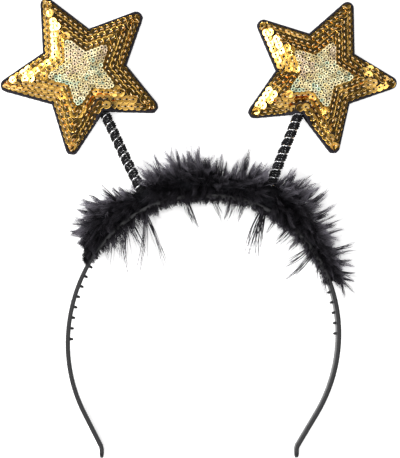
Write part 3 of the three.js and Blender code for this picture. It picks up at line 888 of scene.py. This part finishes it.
def tint_cell(place, climb):
    """A cell of the colour chart: its column drifts slowly over the star, its row is left to chance."""
    x, y = place[0], place[1]
    drift = math.sin(0.41 * x + 0.9) + math.sin(0.37 * y - 0.16 * x) + math.sin(0.23 * (x + y) + 2.0)
    column = CHART_CELLS / 2 + drift + climb * (y - STARS_MIDDLE) + rng.normal(0, 1.5)
    return np.array([int(np.clip(column, 0, CHART_CELLS - 1)), rng.integers(0, CHART_CELLS)])


def in_cell(share):
    """A share of a sequin's radius, as a place across its cell. Every cell keeps a clear edge."""
    return CELL_EDGE + (1 - 2 * CELL_EDGE) * share


# %% Gold and pale film


def sequin_film(name, shades, rim, hole_shade_share, metal, rough, uneven, coat):
    film = Finish(name, Coat_Roughness=0.06)
    place = film.node("ShaderNodeUVMap", {"uv_map": "OFBake"})
    cells = film.node("ShaderNodeVectorMath", {"operation": "SCALE"}, {0: place, "Scale": CHART_CELLS})
    cell = film.node("ShaderNodeVectorMath", {"operation": "FLOOR"}, {0: cells})
    inside = film.node("ShaderNodeVectorMath", {"operation": "FRACTION"}, {0: cells})
    column = film.node("ShaderNodeSeparateXYZ", sockets={0: cell})
    across = film.node("ShaderNodeSeparateXYZ", sockets={0: inside})
    chance = film.node("ShaderNodeTexWhiteNoise", {"noise_dimensions": "2D"}, {"Vector": cell})
    tint = film.ramp(column / CHART_CELLS + 0.12 * chance, shades)
    lightness = 1.0 - uneven + 2.0 * uneven * chance
    tint = film.node("ShaderNodeVectorMath", {"operation": "SCALE"}, {0: tint, "Scale": lightness})
    scuffed = film.node("ShaderNodeVectorMath", {"operation": "SCALE"}, {0: place, "Scale": 90.0})
    scuff = film.noise(1.0, 3.0, where=scuffed)
    settings = {"operation": "GREATER_THAN"}
    film_side = film.node("ShaderNodeMath", settings, {0: across, 1: in_cell(hole_shade_share)})
    # the rim colour: on the pale film a painted shade between the sequins, on the gold a mid gold
    rim_shade_side = film.node("ShaderNodeMath", settings, {0: across, 1: in_cell(RIM_SHARE)})
    settings = {"data_type": "RGBA", "blend_type": "MIX"}
    tint = film.node("ShaderNodeMix", settings, {0: 0.8 * rim_shade_side, 6: tint, 7: (*rim, 1.0)}, output=2)
    # the colour in the hole: the dark brown of the thread with painted shade of the hole
    thread = (0.012, 0.007, 0.003, 1.0)
    colour = film.node("ShaderNodeMix", settings, {0: film_side, 6: thread, 7: tint}, output=2)
    rough = 0.8 - film_side * (0.8 - rough) + 0.1 * scuff
    film.paint(colour, rough, film_side * metal, film_side * coat)
    return film


gold = sequin_film(
    "sequin_gold",
    [(0.0, (0.76, 0.40, 0.06)), (0.4, (0.82, 0.46, 0.075)),
     (0.75, (0.86, 0.51, 0.10)), (1.0, (0.90, 0.57, 0.14))],
    rim=(0.84, 0.49, 0.09), hole_shade_share=0.2, metal=1.0, rough=0.15, uneven=0.04, coat=1.0,
)
# the pale film's dark brown rim colour is painted shade between the sequins
pale = sequin_film(
    "sequin_pale",
    [(0.0, (0.58, 0.88, 0.65)), (0.2, (0.82, 0.92, 0.60)), (0.4, (1.0, 0.93, 0.56)),
     (0.6, (0.98, 0.80, 0.36)), (0.8, (1.0, 0.86, 0.56)), (1.0, (0.95, 0.70, 0.51))],
    rim=(0.26, 0.16, 0.05), hole_shade_share=0.3, metal=0.12, rough=0.2, uneven=0.36, coat=0.0,
)
straws = [(0.3, (0.74, 0.56, 0.30)), (0.7, (0.92, 0.77, 0.50))]
shine = {"Metallic": 0.6, "Specular_IOR_Level": 0.6}
nylon = grained("sequin_thread", (1800.0, 2.0), None, straws, (0.16, 0.14), **shine)

# %% Sew the sequins on
# size and hole, lean and looseness in degrees, how much greener the tint gets for a millimetre further down
SEQUINS = {
    "gold": {"radius": 2.05, "hole": 0.56, "lean": 5, "loose": 1.2, "climb": 0.0, "film": gold},
    "pale": {"radius": 1.18, "hole": 0.5, "lean": 7, "loose": 8.0, "climb": 0.13, "film": pale},
}


def sew_on(name, word, chains, node):
    star, kind = STARS[name], SEQUINS[word]
    radius = kind["radius"] * star["size"]
    tree = surface(pads[name])
    seats, turns = set_sequins(star, STUFFING[name], tree, chains, kind["lean"], kind["loose"])
    shape, quads, ends, chart = sequin_shape(radius, kind["hole"])
    points, faces = repeat_shape(shape, quads, ends, seats, turns)
    cells = np.array([tint_cell(seat, kind["climb"]) for seat in seats])
    charts = ((cells[:, None] + in_cell(chart)) / CHART_CELLS).reshape(-1, 2)
    slot, film = f"sequin_{word}", kind["film"].material
    new_piece(f"{word}_sequins_{name}", points, faces, film, [node], False, charts)
    points, faces = repeat_shape(*stitch_shape(radius, 0.2 * radius), seats, turns)
    new_piece(f"{word}_stitches_{name}", points, faces, nylon, [node])
    print(len(seats), word, "sequins on the", name, "star")


for name in STARS:
    sew_on(name, "gold", gold_chains(*STUFFING[name]["tilts"]), f"star_front_{name}")
    sew_on(name, "pale", PALE_CHAINS, f"star_inset_{name}")

# %% [markdown]
# ## The feather trim
#
# The trim is down on a cord: soft feathers whose barbs cling together in pointed tufts. Hair particles
# would be quick, but the finished piece has to be a mesh, so every barb is a thin strip that narrows to a
# tip. A tuft is a bundle of barbs round one bent guide line, wide in its middle and drawn together at its
# end. A dark core keeps light from shining through where the down is thickest. It lies close to the outer
# face of the band, is slimmer where the springs come out and towards the ends, and stops slantwise on the
# left.

# %% The core of the trim
TRIM_LEFT, TRIM_RIGHT = -66.0, 79.0
END_SLANT, SLANT_FROM, SLANT_RUN = 4.5, -42, 24
CORE_ROWS, CORE_SIDES = 90, 24
# how wide the core is and how long the down is, by distance from the crown
CORE_PLACES = [-66, -60, -50, -40, -34, -28, -22, -12, 2, 8, 14, 20, 30, 43, 50, 56, 65, 79]
CORE_WIDTHS = [6, 10, 11.5, 11.5, 9.5, 7, 10, 11.2, 11, 8.5, 9, 11, 12, 12, 8.5, 7, 6, 5]
PLACES = [-66, -61, -54, -44, -36, -30, -24, -15, -3, 3, 9, 15, 22, 28, 33, 38, 45, 51, 58, 65, 72, 79]
LENGTHS = [0.3, 0.7, 0.85, 1, 0.75, 0.4, 0.8, 1.2, 1.15, 0.9, 0.65, 0.9]
LENGTHS += [0.9, 0.75, 1.05, 1.0, 1.2, 0.8, 0.85, 0.8, 0.75, 0.7]


def core_spot(d, theta):
    """A point on the core, at a distance from the crown and an angle from straight out towards up."""
    lump = np.sin(d * 0.37 + 2 * theta) + 0.7 * np.sin(d * 0.83 - 3 * theta)
    half = 0.5 * np.interp(d, CORE_PLACES, CORE_WIDTHS) * (1 + 0.07 * lump)
    slant = END_SLANT * np.cos(theta) * smooth_step((SLANT_FROM - d) / SLANT_RUN)
    middle, out, _ = band_at(d + slant)
    spot = middle + out * (0.4 + half * (1 + np.cos(theta)))[:, None]
    spot[:, 2] += 1.28 * half * np.sin(theta)
    spot[:, 2] = np.maximum(spot[:, 2], 0.4)
    return spot


def trim_core():
    d = np.linspace(TRIM_LEFT + 1.5, TRIM_RIGHT - 1.5, CORE_ROWS)
    grid_d, grid_t = np.meshgrid(d, full_turn(CORE_SIDES), indexing="ij")
    rings = core_spot(grid_d.ravel(), grid_t.ravel()).reshape(CORE_ROWS, CORE_SIDES, 3)
    return closed(rings, rings[[0, -1]].mean(1))


# %% Barbs as tapered strips
BARB_STEPS, BARB_TINTS = 5, 32
LOWEST, PRESSED_ABOVE = 0.25, 30.0


def barbs(lines, width, painted_tip_light):
    """Strips along many lines at once: lines (count, steps + 1, 3), and a width and a painted tip light to
    each.
    """
    count, stops, _ = lines.shape
    ahead = unit(lines[:, -1] - lines[:, 0])
    across = unit(np.cross(ahead, rng.normal(size=(count, 3))))
    share = np.linspace(0, 1, stops)
    narrow = (1 - 0.75 * share**1.6)[None, :, None]
    half = 0.5 * width[:, None, None] * narrow * across[:, None]
    pair = np.stack([lines - half, lines + half], axis=2).reshape(-1, 3)
    pair[:, 2] = np.maximum(pair[:, 2], LOWEST)
    quads = net(stops, 2, wrap=False)
    faces = (quads[None] + (np.arange(count) * stops * 2)[:, None, None]).reshape(-1, 4)
    column = rng.integers(0, BARB_TINTS, count)
    u = (column[:, None, None] + np.array([0.1, 0.9])) / BARB_TINTS
    v = share[None, :, None] * painted_tip_light[:, None, None]
    chart = np.stack(np.broadcast_arrays(u, v), axis=-1).reshape(-1, 2)
    return pair, faces, chart


def tufts(root, way, length, bend, count, girth, splay, width, shortest=0.6):
    """Bundles of barbs. Each row of root, way, length and bend is one tuft's guide line."""
    n = len(root)
    t = np.linspace(0, 1, BARB_STEPS + 1)
    reach_share = rng.uniform(shortest, 1.02, (n, count))
    along = reach_share[..., None] * t
    guide = root[:, None, None] + way[:, None, None] * (length[:, None, None] * along)[..., None]
    guide = guide + bend[:, None, None] * (along**2)[..., None]
    side = unit(np.cross(way, rng.normal(size=(n, 3))))
    other = np.cross(way, side)
    angle = rng.uniform(0, 2 * math.pi, (n, count))
    far = np.sqrt(rng.uniform(0, 1, (n, count))) * girth[:, None]
    offset = np.cos(angle)[..., None] * side[:, None] + np.sin(angle)[..., None] * other[:, None]
    loose = splay * rng.normal(0, 1, (n, count))
    spread = 0.4 + 1.9 * along - 2.2 * along**2 + loose[..., None] * along**2
    lines = guide + offset[:, :, None] * (far[..., None] * spread)[..., None]
    sway = rng.normal(0, 0.035, (n, count, 1, 3)) * length[:, None, None, None]
    lines = lines + sway * (t**2)[None, None, :, None]
    lines[..., 2] -= 0.65 * np.maximum(lines[..., 2] - PRESSED_ABOVE, 0)
    widths = np.broadcast_to(np.asarray(width).reshape(-1, 1), (n, count))
    return lines.reshape(-1, BARB_STEPS + 1, 3), (widths * rng.uniform(0.7, 1.2, (n, count))).ravel()


# %% [markdown]
# The tufts grow from the core in every direction except into the band, and the side on the table is
# pressed flat. They lean towards the ends of the trim. Where a spring comes out, it parts the down to both
# sides. A second, shorter layer fills the gaps, and a third of longer tufts makes the outline shaggy.

# %% Grow the tufts
PARTING, PARTED_BY = 5.5, 4.4
# how far the tufts lean along the band, by distance from the crown
LEAN_PLACES = [-66, -61, -54, -20, 0, 66, 73, 79]
LEANS = [0.3, -0.2, -0.75, -0.25, 0, 0.15, 0.5, 1.2]


def grow(count, theta_low, theta_high, low, high):
    d = rng.uniform(TRIM_LEFT + 1.0, TRIM_RIGHT - 1.0, count)
    theta = np.radians(rng.uniform(theta_low, theta_high, count))
    for star in STARS.values():
        past = d - star["foot"]
        parted = star["foot"] + np.sign(past) * (PARTED_BY + 0.2 * np.abs(past))
        d = np.where((np.abs(past) < PARTING) & (theta > -0.1), parted, d)
    _, out, _ = band_at(d)
    root = core_spot(d, theta)
    ahead = np.cross(out, UP)
    way = out * np.cos(theta)[:, None] + UP * np.sin(theta)[:, None]
    lean = np.interp(d, LEAN_PLACES, LEANS) + rng.normal(0, 0.35, count)
    way = unit(way + lean[:, None] * ahead + rng.normal(0, 0.12, (count, 3)))
    length = rng.uniform(low, high, count) * np.interp(d, PLACES, LENGTHS)
    bend = rng.normal(0, 0.16, (count, 3)) * length[:, None]
    bend += 0.18 * length[:, None] * ahead * np.sign(d)[:, None]
    return d, theta, root - 1.5 * way, way, length, bend


groups = []


def add_tufts(d, painted_tip_light, count, made):
    """Keep the barbs of some tufts, with the place of each on the band and the painted light on its tips."""
    lines, widths = made
    groups.append((np.repeat(d, count), np.repeat(np.broadcast_to(painted_tip_light, len(d)), count), lines, widths))


LAYERS = [
    # tufts, barbs in each, angles from straight out, lengths, girths, looseness, width of a barb
    (430, 44, (-40, 140), (6.0, 9.5), (1.3, 2.2), 0.25, 0.18),
    (330, 36, (-50, 165), (4.0, 6.5), (1.4, 2.4), 0.6, 0.18),
    (170, 40, (-30, 120), (9.5, 13.5), (0.9, 1.7), 0.2, 0.16),
]
for number, barb_count, angles, lengths, girths, loose, width in LAYERS:
    d, theta, root, way, length, bend = grow(number, *angles, *lengths)
    # painted light and shade: tufts that point out get lighter tips, tufts that point up darker ones
    painted_tip_light = 0.3 + 0.7 * smooth_step((80 - np.degrees(theta)) / 60) + rng.uniform(-0.2, 0.2, number)
    girth = rng.uniform(*girths, number)
    add_tufts(d, painted_tip_light, barb_count, tufts(root, way, length, bend, barb_count, girth, loose, width))
print(sum(layer[0] for layer in LAYERS), "tufts in", len(LAYERS), "layers")

# %% [markdown]
# Here and there a few long strands hang from the inner edge into the opening for the head. They are placed
# one by one, since each of them stands alone. They curl, so they are cut longer than the way to their ends.

# %% Hanging strands
HANGING = [
    # x and y of the root and of the end, sideways bend, strands, girth
    (-26, -13, -19, -34, 3.0, 18, 1.6), (-25, -14, -31.5, -36, 3.5, 10, 1.0),
    (-35, -17, -36, -35, -1.5, 14, 1.5), (-41, -22, -45, -31, -1.5, 14, 2.0),
    (-33, -16, -29, -26, 1.5, 22, 2.2), (-38, -19, -40, -29, 1.0, 22, 2.2),
    (-9, -4.5, -3.5, -15, -3.0, 26, 1.7), (3, -4, 8, -13.5, 0.5, 12, 0.9),
    (13, -5, 10, -12.5, 1.0, 26, 2.2), (28, -8.5, 21.5, -30, -4.5, 26, 2.2),
    (28, -8.5, 26, -29.5, -4.0, 22, 1.6), (17, -5, 16, -12, 0.5, 24, 2.2),
    (52, -27, 40, -39, 2.5, 24, 1.5), (51, -25, 39, -33.5, 2.5, 18, 1.3),
    (40, -17, 33, -24, 2.0, 20, 1.8), (55, -31, 57.5, -46.5, 1.5, 22, 1.8),
    (45, -21, 40.5, -26, 1.0, 20, 1.8), (33, -12, 29, -19, 0.5, 12, 1.6),
]
STRAND_SLACK, STRAND_BEND, STRAND_SPREAD, STRAND_WIDTH = 1.25, 1.4, 1.5, 0.4


def nearest_on_band(x, y):
    gap = np.hypot(band_line[:, 0] - x, band_line[:, 1] - y)
    return band_run[gap.argmin()]


for x0, y0, x1, y1, sideways, count, girth in HANGING:
    d = np.array([nearest_on_band(x0, y0)])
    start = band_at(d)[0]
    start[:, 2] += rng.uniform(-1, 2.5)
    run = STRAND_SLACK * (np.array([[x1, y1, start[0, 2] + rng.uniform(-2.5, 0.5)]]) - start)
    size = np.linalg.norm(run, axis=1)
    aside = unit(np.cross(run, UP)) * sideways * STRAND_BEND
    spread = np.array([STRAND_SPREAD * girth])
    made = tufts(start, unit(run - aside), size, aside, count, spread, 0.7, STRAND_WIDTH, 0.5)
    # 0.6 is the painted light on the tips of the hanging strands
    add_tufts(d, 0.6, count, made)
print(len(HANGING), "bundles of hanging strands")

# %% [markdown]
# The outline of down is never even. The tufts that stand out most are placed one by one too, by where their
# tips are. The thin ones have a few wide barbs, so that they still show, and the full ones many fine barbs.

# %% Tufts that stand out
SPIKES = [
    # x and y of a standing-out tuft's tip, its girth, how many barbs it has and the painted light on its
    # tips
    (-24.8, 20.6, 0.8, 16, 0.8), (-24.5, 15.5, 0.9, 20, 0.8), (-14.2, 22.7, 1.0, 34, 0.6),
    (-17.0, 19.4, 0.4, 7, 0.5), (-13.2, 19.9, 0.4, 7, 0.5), (-10.8, 20.0, 1.8, 44, 0.9),
    (-7.8, 19.8, 1.7, 90, 0.55), (-3.2, 23.0, 1.5, 64, 0.8), (0.7, 17.3, 2.4, 100, 0.5),
    (6.0, 17.0, 1.0, 50, 0.5), (8.2, 20.0, 1.7, 54, 0.9), (10.2, 16.1, 0.9, 44, 0.5),
    (16.3, 19.7, 0.4, 9, 0.4), (19.2, 19.7, 1.6, 40, 0.9), (22.8, 24.5, 0.9, 30, 0.5),
    (15.1, 15.2, 1.7, 54, 0.8), (21.6, 18.0, 1.3, 44, 0.7), (27.4, 15.6, 1.6, 54, 0.9),
    (24.2, 15.4, 1.3, 40, 0.8), (42.8, 13.2, 0.4, 7, 0.5), (43.2, 9.1, 1.3, 70, 0.5),
    (39.7, 9.5, 1.6, 50, 0.9), (46.2, 5.7, 1.9, 80, 0.6), (52.4, 10.1, 0.5, 9, 0.5),
    (51.0, 7.0, 1.8, 54, 1.0), (55.8, 3.6, 1.7, 54, 0.9), (58.2, 0.9, 1.3, 70, 0.5),
    (61.3, 5.3, 0.6, 8, 0.8), (63.4, -4.3, 1.4, 34, 1.0), (58.9, -9.4, 1.4, 70, 0.5),
    (63.7, -10.1, 0.4, 8, 0.5), (67.2, -10.8, 0.4, 8, 0.6), (63.7, -14.5, 1.3, 60, 0.5),
    (67.5, -16.6, 1.0, 34, 0.7), (73.3, -22.2, 0.7, 14, 0.6), (75.3, -27.2, 0.6, 12, 0.7),
    (71.5, -31.7, 1.0, 30, 0.6), (72.8, -37.9, 0.8, 20, 0.6), (73.3, -48.5, 0.6, 12, 0.6),
    (67.7, -50.4, 0.8, 20, 0.6), (-50.9, 6.4, 0.4, 7, 0.5), (-49.0, 2.6, 0.9, 40, 0.45),
    (-42.3, 4.3, 0.5, 9, 0.6), (-45.5, 4.6, 0.4, 7, 0.6), (-56.4, 0.0, 0.6, 14, 0.5),
    (-58.8, -1.9, 0.5, 10, 0.5), (-61.9, -6.7, 0.6, 14, 0.5), (-60.5, -7.7, 1.6, 60, 0.7),
    (-63.6, -10.8, 0.4, 8, 0.6), (-63.6, -14.5, 0.5, 10, 0.6), (-65.1, -17.8, 0.6, 16, 0.5),
    (-65.6, -20.2, 0.5, 10, 0.5), (-63.2, -18.7, 1.3, 70, 0.5), (-27.6, 11.5, 1.4, 40, 0.9),
    (-53.5, -1.5, 1.6, 60, 0.7), (72.6, -42.0, 0.8, 20, 0.6), (73.1, -23.9, 0.7, 14, 0.6),
]
FEW, WIDE_BARB, FINE_BARB = 25, 0.32, 0.2

for x, y, girth, count, painted_tip_light in SPIKES:
    d = np.clip(0.95 * nearest_on_band(x, y), TRIM_LEFT + 2, TRIM_RIGHT - 2) * np.ones(1)
    start = core_spot(d, np.radians(rng.uniform(0, 50, 1)))
    run = np.array([[x, y, start[0, 2] + rng.uniform(-3, 1)]]) - start
    size = np.linalg.norm(run, axis=1)
    aside = unit(np.cross(run, UP)) * rng.normal(0, 0.13) * size
    width = WIDE_BARB if count <= FEW else FINE_BARB
    made = tufts(start, unit(run - aside), size, aside, count, np.array([girth]), 0.15, width, 0.7)
    add_tufts(d, painted_tip_light, count, made)
print(len(SPIKES), "tufts that stand out")

# %% [markdown]
# Long wisps of a few barbs float beyond the rest, and go where they like. Along the inner edge of the band
# the down is short and thin. It comes in two kinds: loose fuzz that hangs towards the legs, longest on the
# left, and a close fringe that hides the edge of the band over the crown.

# %% Wisps, fuzz and fringe
WISPS, FUZZ, FRINGE = 75, 560, 330
FUZZ_BARBS, FRINGE_BARBS, WISP_BARBS = 13, 14, 4
FUZZ_PLACES = [-66, -58, -50, -30, -22, -15, 0, 15, 25, 40, 60, 82]
FUZZ_LENGTHS = [2.0, 4.0, 9.0, 10.0, 6.0, 3.4, 3.0, 3.8, 5.0, 6.0, 6.0, 3.0]
FRINGE_PLACES, FRINGE_LENGTHS = [-32, -26, 14, 24], [1.0, 1.45, 1.4, 1.0]

# the numbers given to add_tufts below are painted light on the tips: 0.7 wisps, 0.6 fuzz, 0.25 fringe
d, theta, root, way, length, bend = grow(WISPS, -10, 90, 13.0, 19.0)
bend = rng.normal(0, 0.3, (WISPS, 3)) * length[:, None]
girth = rng.uniform(0.5, 2.0, WISPS)
add_tufts(d, 0.7, WISP_BARBS, tufts(root, way, length, bend, WISP_BARBS, girth, 0.6, 0.17, 0.75))

d = rng.uniform(TRIM_LEFT + 1, TRIM_RIGHT - 1, FUZZ)
middle, out, depth = band_at(d)
root = middle - 0.2 * out
root[:, 2] += rng.uniform(-0.62, 0.62, FUZZ) * depth
way = unit(-0.7 * out + rng.normal(0, 0.35, (FUZZ, 3)) + np.array([0, -0.7, 0.1]))
length = rng.uniform(0.4, 1.0, FUZZ) * np.interp(d, FUZZ_PLACES, FUZZ_LENGTHS)
bend = rng.normal(0, 0.5, (FUZZ, 3))
girth = np.full(FUZZ, 0.9)
add_tufts(d, 0.6, FUZZ_BARBS, tufts(root, way, length, bend, FUZZ_BARBS, girth, 0.4, 0.2))

d = rng.uniform(-48, 50, FRINGE)
middle, out, depth = band_at(d)
root = middle + rng.uniform(-0.6, 0.6, (FRINGE, 1)) * depth[:, None] * UP
way = unit(-out + rng.normal(0, 0.3, (FRINGE, 3)))
length = rng.uniform(2.2, 4.0, FRINGE) * np.interp(d, FRINGE_PLACES, FRINGE_LENGTHS)
bend = rng.normal(0, 0.3, (FRINGE, 3))
girth = np.full(FRINGE, 0.9)
add_tufts(d, 0.25, FRINGE_BARBS, tufts(root, way, length, bend, FRINGE_BARBS, girth, 0.5, 0.2))
print(sum(len(lines) for _, _, lines, _ in groups), "barbs in the trim")

# %% [markdown]
# Black down is not quite black. Up each barb the colour fades from near black at the root to grey at the
# tip, partly the grey of the thin ends and partly painted light and shade: painted shade deep in the down at
# the roots, painted light at the tips where the thin ends let light through. How far the tips lighten is set
# for each tuft, and that too is painted light. The chart gives each barb one of 32 columns, with its length
# running up the column, so the colour can fade from root to tip and differ from barb to barb.

# %% Down and its core
down = Finish("feather_black", Specular_IOR_Level=0.05)
place = down.node("ShaderNodeUVMap", {"uv_map": "OFBake"})
parts = [down.node("ShaderNodeSeparateXYZ", sockets={0: place}, output=k) for k in (0, 1)]
column = down.node("ShaderNodeMath", {"operation": "FLOOR"}, {0: parts[0] * BARB_TINTS})
shade = down.node("ShaderNodeTexWhiteNoise", {"noise_dimensions": "1D"}, {"W": column})
# painted light and shade along each barb: dark at the root, light at the tip, with a random tone to each
# barb
painted_light_and_tone = parts[1] * 0.85 + 0.15 * shade
down_colour = down.ramp(
    painted_light_and_tone, [(0.1, (0.005, 0.0045, 0.0055)), (0.4, (0.045, 0.042, 0.05)), (0.85, (0.31, 0.292, 0.34))])
down.paint(down_colour, 0.62 + 0.2 * shade)

blacks = [(0.3, (0.003, 0.003, 0.004)), (0.7, (0.012, 0.012, 0.014))]
matted = grained("feather_core", (700.0, 5.0), 0.0008, blacks, (0.9, 0.08), Specular_IOR_Level=0.03)
points, quads, caps = trim_core()
new_piece("trim_core", points, [quads, caps], matted, ["feather_trim"])

# %% Share the barbs out over four pieces
owner, barb_painted_light, barb_lines, barb_widths = (np.concatenate(kind) for kind in zip(*groups))
part = np.searchsorted(np.quantile(owner, [0.25, 0.5, 0.75]), owner, side="right")
for number, name in enumerate(("far_left", "left", "right", "far_right")):
    mine = part == number
    points, quads, chart = barbs(barb_lines[mine], barb_widths[mine], barb_painted_light[mine])
    piece = f"down_{name}"
    new_piece(piece, points, [quads], down.material, ["feather_trim"], True, chart)

# %% [markdown]
# ## Table, light and camera
#
# The table is a plain pale sheet. A large soft light overhead whitens it and fills the flat middle of the
# stars. A second softbox stands low on the left, where the slopes of the stars throw it back as a white
# gleam, with a dim wall of light behind it. Two weak ones fill from the front. The other sides stay dim,
# which gives the sequins their brown shadows. The camera looks down from three quarters of a metre, a little
# left of the middle.

# %% Table
bpy.ops.mesh.primitive_plane_add(size=6.0, location=(0, 0, -0.0002))
table = bpy.context.object
table.name = "table"
sheet_finish = Finish("table_sheet", Specular_IOR_Level=0.1, Emission_Strength=0.5)
sheet_finish.shader.inputs["Emission Color"].default_value = (1.0, 1.0, 1.0, 1.0)
tooth = sheet_finish.noise(9.0, 2.0)
sheet_finish.paint(sheet_finish.ramp(tooth, [(0.3, (0.91, 0.91, 0.91)), (0.7, (0.93, 0.93, 0.93))]), 0.9)
table.data.materials.append(sheet_finish.material)
table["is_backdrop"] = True

# %% Lights


def softbox(name, place, aim, size, power):
    light = bpy.data.lights.new(name, "AREA")
    light.shape = "RECTANGLE"
    light.size, light.size_y = size
    light.energy = power
    holder = bpy.data.objects.new(name, light)
    holder.location = place
    holder.rotation_euler = (Vector(aim) - Vector(place)).to_track_quat("-Z", "Y").to_euler()
    holder.visible_camera = False
    bpy.context.collection.objects.link(holder)


SOFTBOXES = {
    # place, where it points, size and power
    "overhead_softbox": ((-0.1, -0.1, 1.6), (0, 0, 0), (1.8, 1.8), 24.5),
    "left_softbox": ((-0.73, 0.20, 0.48), (0, 0.075, 0), (0.86, 0.21), 7.0),
    "left_wall": ((-1.15, -0.2, 0.25), (0, 0.06, 0), (1.5, 0.3), 0.45),
    "low_fill": ((-0.36, -1.05, 0.45), (0, 0.06, 0), (1.2, 0.7), 1.4),
    "front_fill": ((0.2, -1.0, 0.58), (0, 0.06, 0), (0.6, 0.8), 0.95),
}
for name, settings in SOFTBOXES.items():
    softbox(name, *settings)
print(len(SOFTBOXES), "softboxes")

# %% Room
world = bpy.data.worlds.new("room")
bpy.context.scene.world = world
world.use_nodes = True
room = world.node_tree
dim = room.nodes["Background"]
dim.inputs["Color"].default_value = (0.06, 0.058, 0.055, 1.0)
dim.inputs["Strength"].default_value = 1.0
seen = room.nodes.new("ShaderNodeBackground")
seen.inputs["Color"].default_value = (0.9, 0.9, 0.9, 1.0)
path = room.nodes.new("ShaderNodeLightPath")
blend = room.nodes.new("ShaderNodeMixShader")
room.links.new(path.outputs["Is Camera Ray"], blend.inputs["Fac"])
room.links.new(dim.outputs["Background"], blend.inputs[1])
room.links.new(seen.outputs["Background"], blend.inputs[2])
room.links.new(blend.outputs["Shader"], room.nodes["World Output"].inputs["Surface"])
bpy.context.scene.view_settings.view_transform = "Standard"

# %% Camera
VIEW_MIDDLE = [-1.68, -16.84, 0.0]
# from there to the camera, in metres
TO_CAMERA = (-0.0399, 0, 0.75)
camera = bpy.data.objects.new("camera", bpy.data.cameras.new("camera"))
bpy.context.collection.objects.link(camera)
aim = Vector((CROWN + VIEW_MIDDLE) * MM)
camera.location = aim + Vector(TO_CAMERA)
back = (camera.location - aim).normalized()
right = Vector((0, 1, 0)).cross(back).normalized()
camera.rotation_euler = Matrix((right, back.cross(right), back)).transposed().to_euler()
camera.data.lens = 122.8
camera.data.sensor_width = 36.0
bpy.context.scene.camera = camera

# %% Measure the dressed headband and finish
dressed_low, dressed_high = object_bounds()
sizes = {
    "solids": [list(solids_low), list(solids_high)],
    "dressed": [list(dressed_low), list(dressed_high)],
}
for word, corner in (("from", dressed_low), ("to", dressed_high)):
    print("dressed", word, [round(v / MM, 1) for v in corner])
